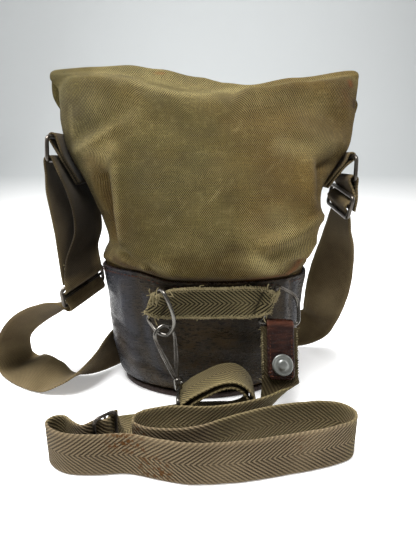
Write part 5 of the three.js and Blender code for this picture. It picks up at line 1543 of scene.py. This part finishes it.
def stitch_tree():
    """Row of stitches along a path, each turned to it and a little uneven."""
    net, enter, leave = geometry_tree("Stitch row", Radius="Float", Slant="Float")
    grain = net.node("GeometryNodeMeshUVSphere", {"Segments": 8, "Rings": 6, "Radius": 1.0})
    size = net.node("ShaderNodeCombineXYZ", {
        0: net.times(enter["Length"], 0.5), 1: enter["Radius"], 2: enter["Radius"]})
    shaped = net.node("GeometryNodeTransform", {"Geometry": grain.outputs["Mesh"], "Scale": size.outputs[0]})
    wild = random_between(net, (-0.12, -0.2, -0.2), (0.12, 0.2, 0.2), enter["Seed"])
    lean = net.node("ShaderNodeCombineXYZ", {1: enter["Slant"], 2: enter["Slant"]})
    turn = net.node("ShaderNodeVectorMath", {0: wild, 1: lean.outputs[0]}, operation="ADD")
    scale = random_between(net, 0.82, 1.15, enter["Seed"])
    return place_along(net, enter, leave, shaped.outputs[0], turn.outputs[0], scale)


def thread_tree():
    """Short loose threads that stand off a path in uneven directions."""
    net, enter, leave = geometry_tree("Loose threads", Spread="Vector")
    bow = net.node("GeometryNodeCurveQuadraticBezier", {
        "Resolution": 7, "Start": (0, 0, 0), "Middle": (0.45, 0.0, 0.42), "End": (1.0, 0.18, 0.05)})
    profile = net.node("GeometryNodeCurvePrimitiveCircle", {"Resolution": 5, "Radius": 0.07})
    strand = net.node("GeometryNodeCurveToMesh", {
        "Curve": bow.outputs[0], "Profile Curve": profile.outputs[0], "Fill Caps": True})
    wild = random_between(net, (-1.0, -1.0, -1.0), (1.0, 1.0, 1.0), enter["Seed"])
    turn = net.node("ShaderNodeVectorMath", {0: wild, 1: enter["Spread"]}, operation="MULTIPLY")
    scale = net.times(random_between(net, 0.35, 1.0, enter["Seed"]), enter["Length"])
    return place_along(net, enter, leave, strand.outputs[0], turn.outputs[0], scale)


def path_object(points):
    """Curve object through points given in millimetres."""
    curve = bpy.data.curves.new("row_path", "CURVE")
    curve.dimensions = "3D"
    spline = curve.splines.new("POLY")
    spline.points.add(len(points) - 1)
    for place, p in zip(spline.points, points):
        place.co = (p[0] * MM, p[1] * MM, p[2] * MM, 1.0)
    obj = bpy.data.objects.new("row_path", curve)
    bpy.context.scene.collection.objects.link(obj)
    return obj


def grown(tree, points, settings):
    """Plain mesh that a geometry tree grows along points."""
    source = path_object(points)
    modifier = source.modifiers.new("Grow", "NODES")
    modifier.node_group = tree
    names = {s.name: s.identifier for s in tree.interface.items_tree if s.in_out == "INPUT"}
    for key, value in settings.items():
        modifier[names[key]] = value
    graph = bpy.context.evaluated_depsgraph_get()
    mesh = bpy.data.meshes.new_from_object(source.evaluated_get(graph), depsgraph=graph)
    curve = source.data
    bpy.data.objects.remove(source)
    bpy.data.curves.remove(curve)
    return mesh


def gathered_piece(name, meshes, material, slot):
    """One piece from several grown meshes."""
    vertices, faces, first = [], [], 0
    for mesh in meshes:
        block = np.empty(len(mesh.vertices) * 3)
        mesh.vertices.foreach_get("co", block)
        vertices.append(block.reshape(-1, 3) / MM)
        faces += [tuple(v + first for v in p.vertices) for p in mesh.polygons]
        first += len(mesh.vertices)
        bpy.data.meshes.remove(mesh)
    finish_piece(build_mesh(name, np.concatenate(vertices), faces, material=material), slot)


def grow_pieces(tree, kinds, labels, pieces):
    """Grows pieces; each has a name, its rows of kind, points and seed, a material and a slot."""
    for name, rows, look, slot in pieces:
        meshes = []
        for kind, points, seed in rows:
            settings = dict(zip(labels, kinds[kind]), Seed=seed, Material=MATERIALS[look])
            meshes.append(grown(tree, points, settings))
        gathered_piece(name, meshes, MATERIALS[look], slot)


def band_stitches():
    """Thick edges of the front band, its thin lines, its sewn ends and the coils at the rings."""
    low, high = band_stations()
    way = unit(high - low)
    along = unit(np.gradient((low + high) / 2, axis=0))
    face = unit(np.cross(along, way))
    for n, (edge, sign) in enumerate(((low, 1.0), (high, -1.0))):
        for k, (inset, lift) in enumerate(((0.3, 0.0), (0.9, 0.75), (0.9, -0.75))):
            yield "band edge", edge + way * sign * inset + face * lift, 3 + 7 * n + k
    for edge, inset in ((low, 2.6), (high, -2.6)):
        yield "band line", (edge + way * inset + face * 0.9)[28:-28], 19
    for station in (20, len(low) - 21):
        t = np.linspace(0.04, 0.96, 24)[:, None]
        line = low[station] + (high[station] - low[station]) * t + face[station] * 0.9
        yield "band end", line, 80 + station
    for station, size, seed in ((24, 3.4, 131), (len(low) - 25, 2.4, 137)):
        turn = np.linspace(0, 9 * math.pi, 90)[:, None]
        middle = high[station] - way[station] * np.linspace(-1.0, 6.0, 90)[:, None]
        coil = along[station] * np.cos(turn) * size + face[station] * (1.6 + 1.2 * np.sin(turn))
        yield "band coil", middle + coil, seed


def tab_stitches():
    """Lines down both sides of the leather tab and across its ends."""
    for side in (-1, 1):
        yield "tab", [on_tab(d, TAB_FACE, side * 8.9) for d in np.linspace(6, 40.5, 30)], 31 + side
    for down, seed in ((7.0, 36), (40.6, 37)):
        yield "tab", [on_tab(down, TAB_FACE, s) for s in np.linspace(-7.5, 7.5, 16)], seed


def waist_drop(length):
    """Centres and widths of the waist strap's first run below the tab."""
    centres, widths = waist_path()
    stop = int(np.argmin(np.linalg.norm(centres - centres[0], axis=-1) < length))
    return centres[:stop], widths[:stop]


def waist_stitches():
    """Thick edges of the waist strap below the tab."""
    centres, widths = waist_drop(36)
    for k, (place, lift) in enumerate(((-14.3, -0.7), (14.3, -0.7), (-14.3, 0.7), (14.3, 0.7))):
        yield "waist edge", strap_line(centres[2:], widths[2:], place, lift), 41 + k


def shoulder_stitches():
    """Boxes of stitches at both ends of the shoulder strap."""
    centres, widths = strap_rows(shoulder_rows())
    for begin, end, seed in ((1, 7, 51), (len(centres) - 8, len(centres) - 2, 61)):
        part, across = centres[begin:end], widths[begin:end]
        for k, lift in enumerate((0.95, -0.95)):
            for place in (-16.5, 16.5):
                yield "shoulder", strap_line(part, across, place, lift), seed + k
            for at in (0, len(part) - 1):
                face = unit(np.cross(part[-1] - part[0], across[at])) * lift
                line = [part[at] + across[at] * s + face for s in np.linspace(-16.5, 16.5, 24)]
                yield "shoulder", line, seed + 5 + k


def seam_stitches():
    """Row that holds the leather's rim to the canvas."""
    ring = base_ring(0, -0.05, 3.6)
    yield "seam", np.concatenate([ring, ring[:1]]), 71


class BAG_OT_stitching(bpy.types.Operator):
    """Stitches of the band, the tab, the straps and the seam"""
    bl_idname = "bag.stitching"
    bl_label = "Stitching"

    def execute(self, context):
        pitch = context.scene.bag_sizes.stitch_pitch
        kinds = {key: (step or pitch, *rest) for key, (step, *rest) in STITCH_KINDS.items()}
        grow_pieces(stitch_tree(), kinds, ("Pitch", "Length", "Radius", "Slant"), (
            ("band_stitches", band_stitches(), "thread", "band_webbing"),
            ("tab_stitches", tab_stitches(), "dark_thread", "tab_leather"),
            ("waist_strap_stitches", waist_stitches(), "worn_thread", "waist_webbing"),
            ("shoulder_strap_stitches", shoulder_stitches(), "thread", "shoulder_webbing"),
            ("seam_stitches", seam_stitches(), "dark_thread", "base_leather")))
        return {"FINISHED"}


def band_threads():
    """Fray along both edges of the band and more of it at its ends."""
    low, high = band_stations()
    way = unit(high - low)
    yield "band edge", (low + way * 0.3)[20:-20], 5
    yield "band edge", (high - way * 0.3)[20:-20], 6
    for stations, seed in ((slice(14, 36), 7), (slice(-36, -14), 8)):
        for k, t in enumerate((0.02, 0.98)):
            yield "band end", (low + (high - low) * t)[stations], seed * 10 + k


def waist_threads():
    """Fray along both edges of the waist strap below the tab."""
    centres, widths = waist_drop(44)
    for k, place in enumerate((-14.8, 14.8)):
        yield "waist edge", strap_line(centres, widths, place, 0.0), 91 + k


class BAG_OT_loose_threads(bpy.types.Operator):
    """Frayed threads at the ends and edges of the band and the waist strap"""
    bl_idname = "bag.loose_threads"
    bl_label = "Loose threads"

    def execute(self, context):
        grow_pieces(thread_tree(), THREAD_KINDS, ("Pitch", "Length", "Spread"), (
            ("band_threads", band_threads(), "thread", "band_webbing"),
            ("waist_strap_threads", waist_threads(), "thread", "waist_webbing")))
        return {"FINISHED"}


def stage_material():
    """White floor that turns grey up the sweep behind it."""
    made, net, shader = new_material("Pale floor", {
        "Roughness": 0.9, "Specular IOR Level": 0.1, "Emission Strength": 1.0})
    place, _ = net.places()
    height = net.split(place)[2]
    colour = net.mix(net.span(height, 0.0, 0.13), FLOOR_WHITE, SWEEP_GREY)
    net.link(colour, shader["Base Color"])
    glow = net.mix(net.span(height, 0.0, 0.05), FLOOR_GLOW, NO_GLOW)
    net.link(glow, shader["Emission Color"])
    return made


def area_light(name, place, target, size, power):
    light = bpy.data.lights.new(name, "AREA")
    light.shape = "SQUARE"
    light.size = size
    light.energy = power
    obj = bpy.data.objects.new(name, light)
    obj.location = place
    obj.rotation_euler = (Vector(target) - Vector(place)).to_track_quat("-Z", "Y").to_euler()
    bpy.context.scene.collection.objects.link(obj)


class BAG_OT_stage(bpy.types.Operator):
    """Pale floor with a soft sweep, studio light and camera"""
    bl_idname = "bag.stage"
    bl_label = "Stage"

    def execute(self, context):
        scene = context.scene
        sweep = catmull(STAGE_PROFILE, np.linspace(0, len(STAGE_PROFILE) - 1, STAGE_STEPS))
        vertices = [(x, y, z - STAGE_DROP) for y, z in sweep for x in (-STAGE_HALF, STAGE_HALF)]
        faces = [(2 * i, 2 * i + 1, 2 * i + 3, 2 * i + 2) for i in range(len(sweep) - 1)]
        floor = build_mesh("stage_floor", vertices, faces, material=stage_material())
        scene.world = bpy.data.worlds.new("Studio")
        scene.world.use_nodes = True
        sky = scene.world.node_tree.nodes["Background"].inputs
        sky[0].default_value, sky[1].default_value = SKY_COLOUR, SKY_STRENGTH
        for light in LIGHTS:
            area_light(*light)
        camera = bpy.data.cameras.new("Photo view")
        camera.sensor_width, camera.lens = SENSOR, FOCAL_PIXELS * SENSOR / PHOTO_HEIGHT
        camera.clip_start, camera.clip_end = 0.01, 50.0
        obj = bpy.data.objects.new("Photo view", camera)
        obj.location = CAMERA_PLACE
        obj.rotation_euler = (math.radians(CAMERA_TILT), 0, 0)
        scene.collection.objects.link(obj)
        scene.camera = obj
        scene.view_settings.view_transform = "Standard"
        return {"FINISHED"}


OPERATORS = [
    BAG_OT_stage, BAG_OT_canvas_sack, BAG_OT_leather_base, BAG_OT_shoulder_strap, BAG_OT_waist_strap,
    BAG_OT_front_band, BAG_OT_metal_fittings, BAG_OT_leather_tab, BAG_OT_stitching, BAG_OT_loose_threads,
]


class BAG_PT_panel(bpy.types.Panel):
    """Lists the pieces of the bag and its settings"""
    bl_idname = "BAG_PT_panel"
    bl_label = "Gas mask bag"
    bl_space_type = "VIEW_3D"
    bl_region_type = "UI"
    bl_category = "Bag"

    def draw(self, context):
        for operator in OPERATORS:
            self.layout.operator(operator.bl_idname)
        for group in (context.scene.bag_sizes, context.scene.bag_colours):
            for key in group.__annotations__:
                self.layout.prop(group, key)


CLASSES = [BagSizes, BagColours, *OPERATORS, BAG_PT_panel]


def register():
    for cls in CLASSES:
        bpy.utils.register_class(cls)
    bpy.types.Scene.bag_sizes = bpy.props.PointerProperty(type=BagSizes)
    bpy.types.Scene.bag_colours = bpy.props.PointerProperty(type=BagColours)


def unregister():
    del bpy.types.Scene.bag_colours
    del bpy.types.Scene.bag_sizes
    for cls in reversed(CLASSES):
        bpy.utils.unregister_class(cls)


def main():
    register()
    make_materials()
    for operator in OPERATORS:
        family, name = operator.bl_idname.split(".")
        getattr(getattr(bpy.ops, family), name)()


if __name__ == "__main__":
    main()
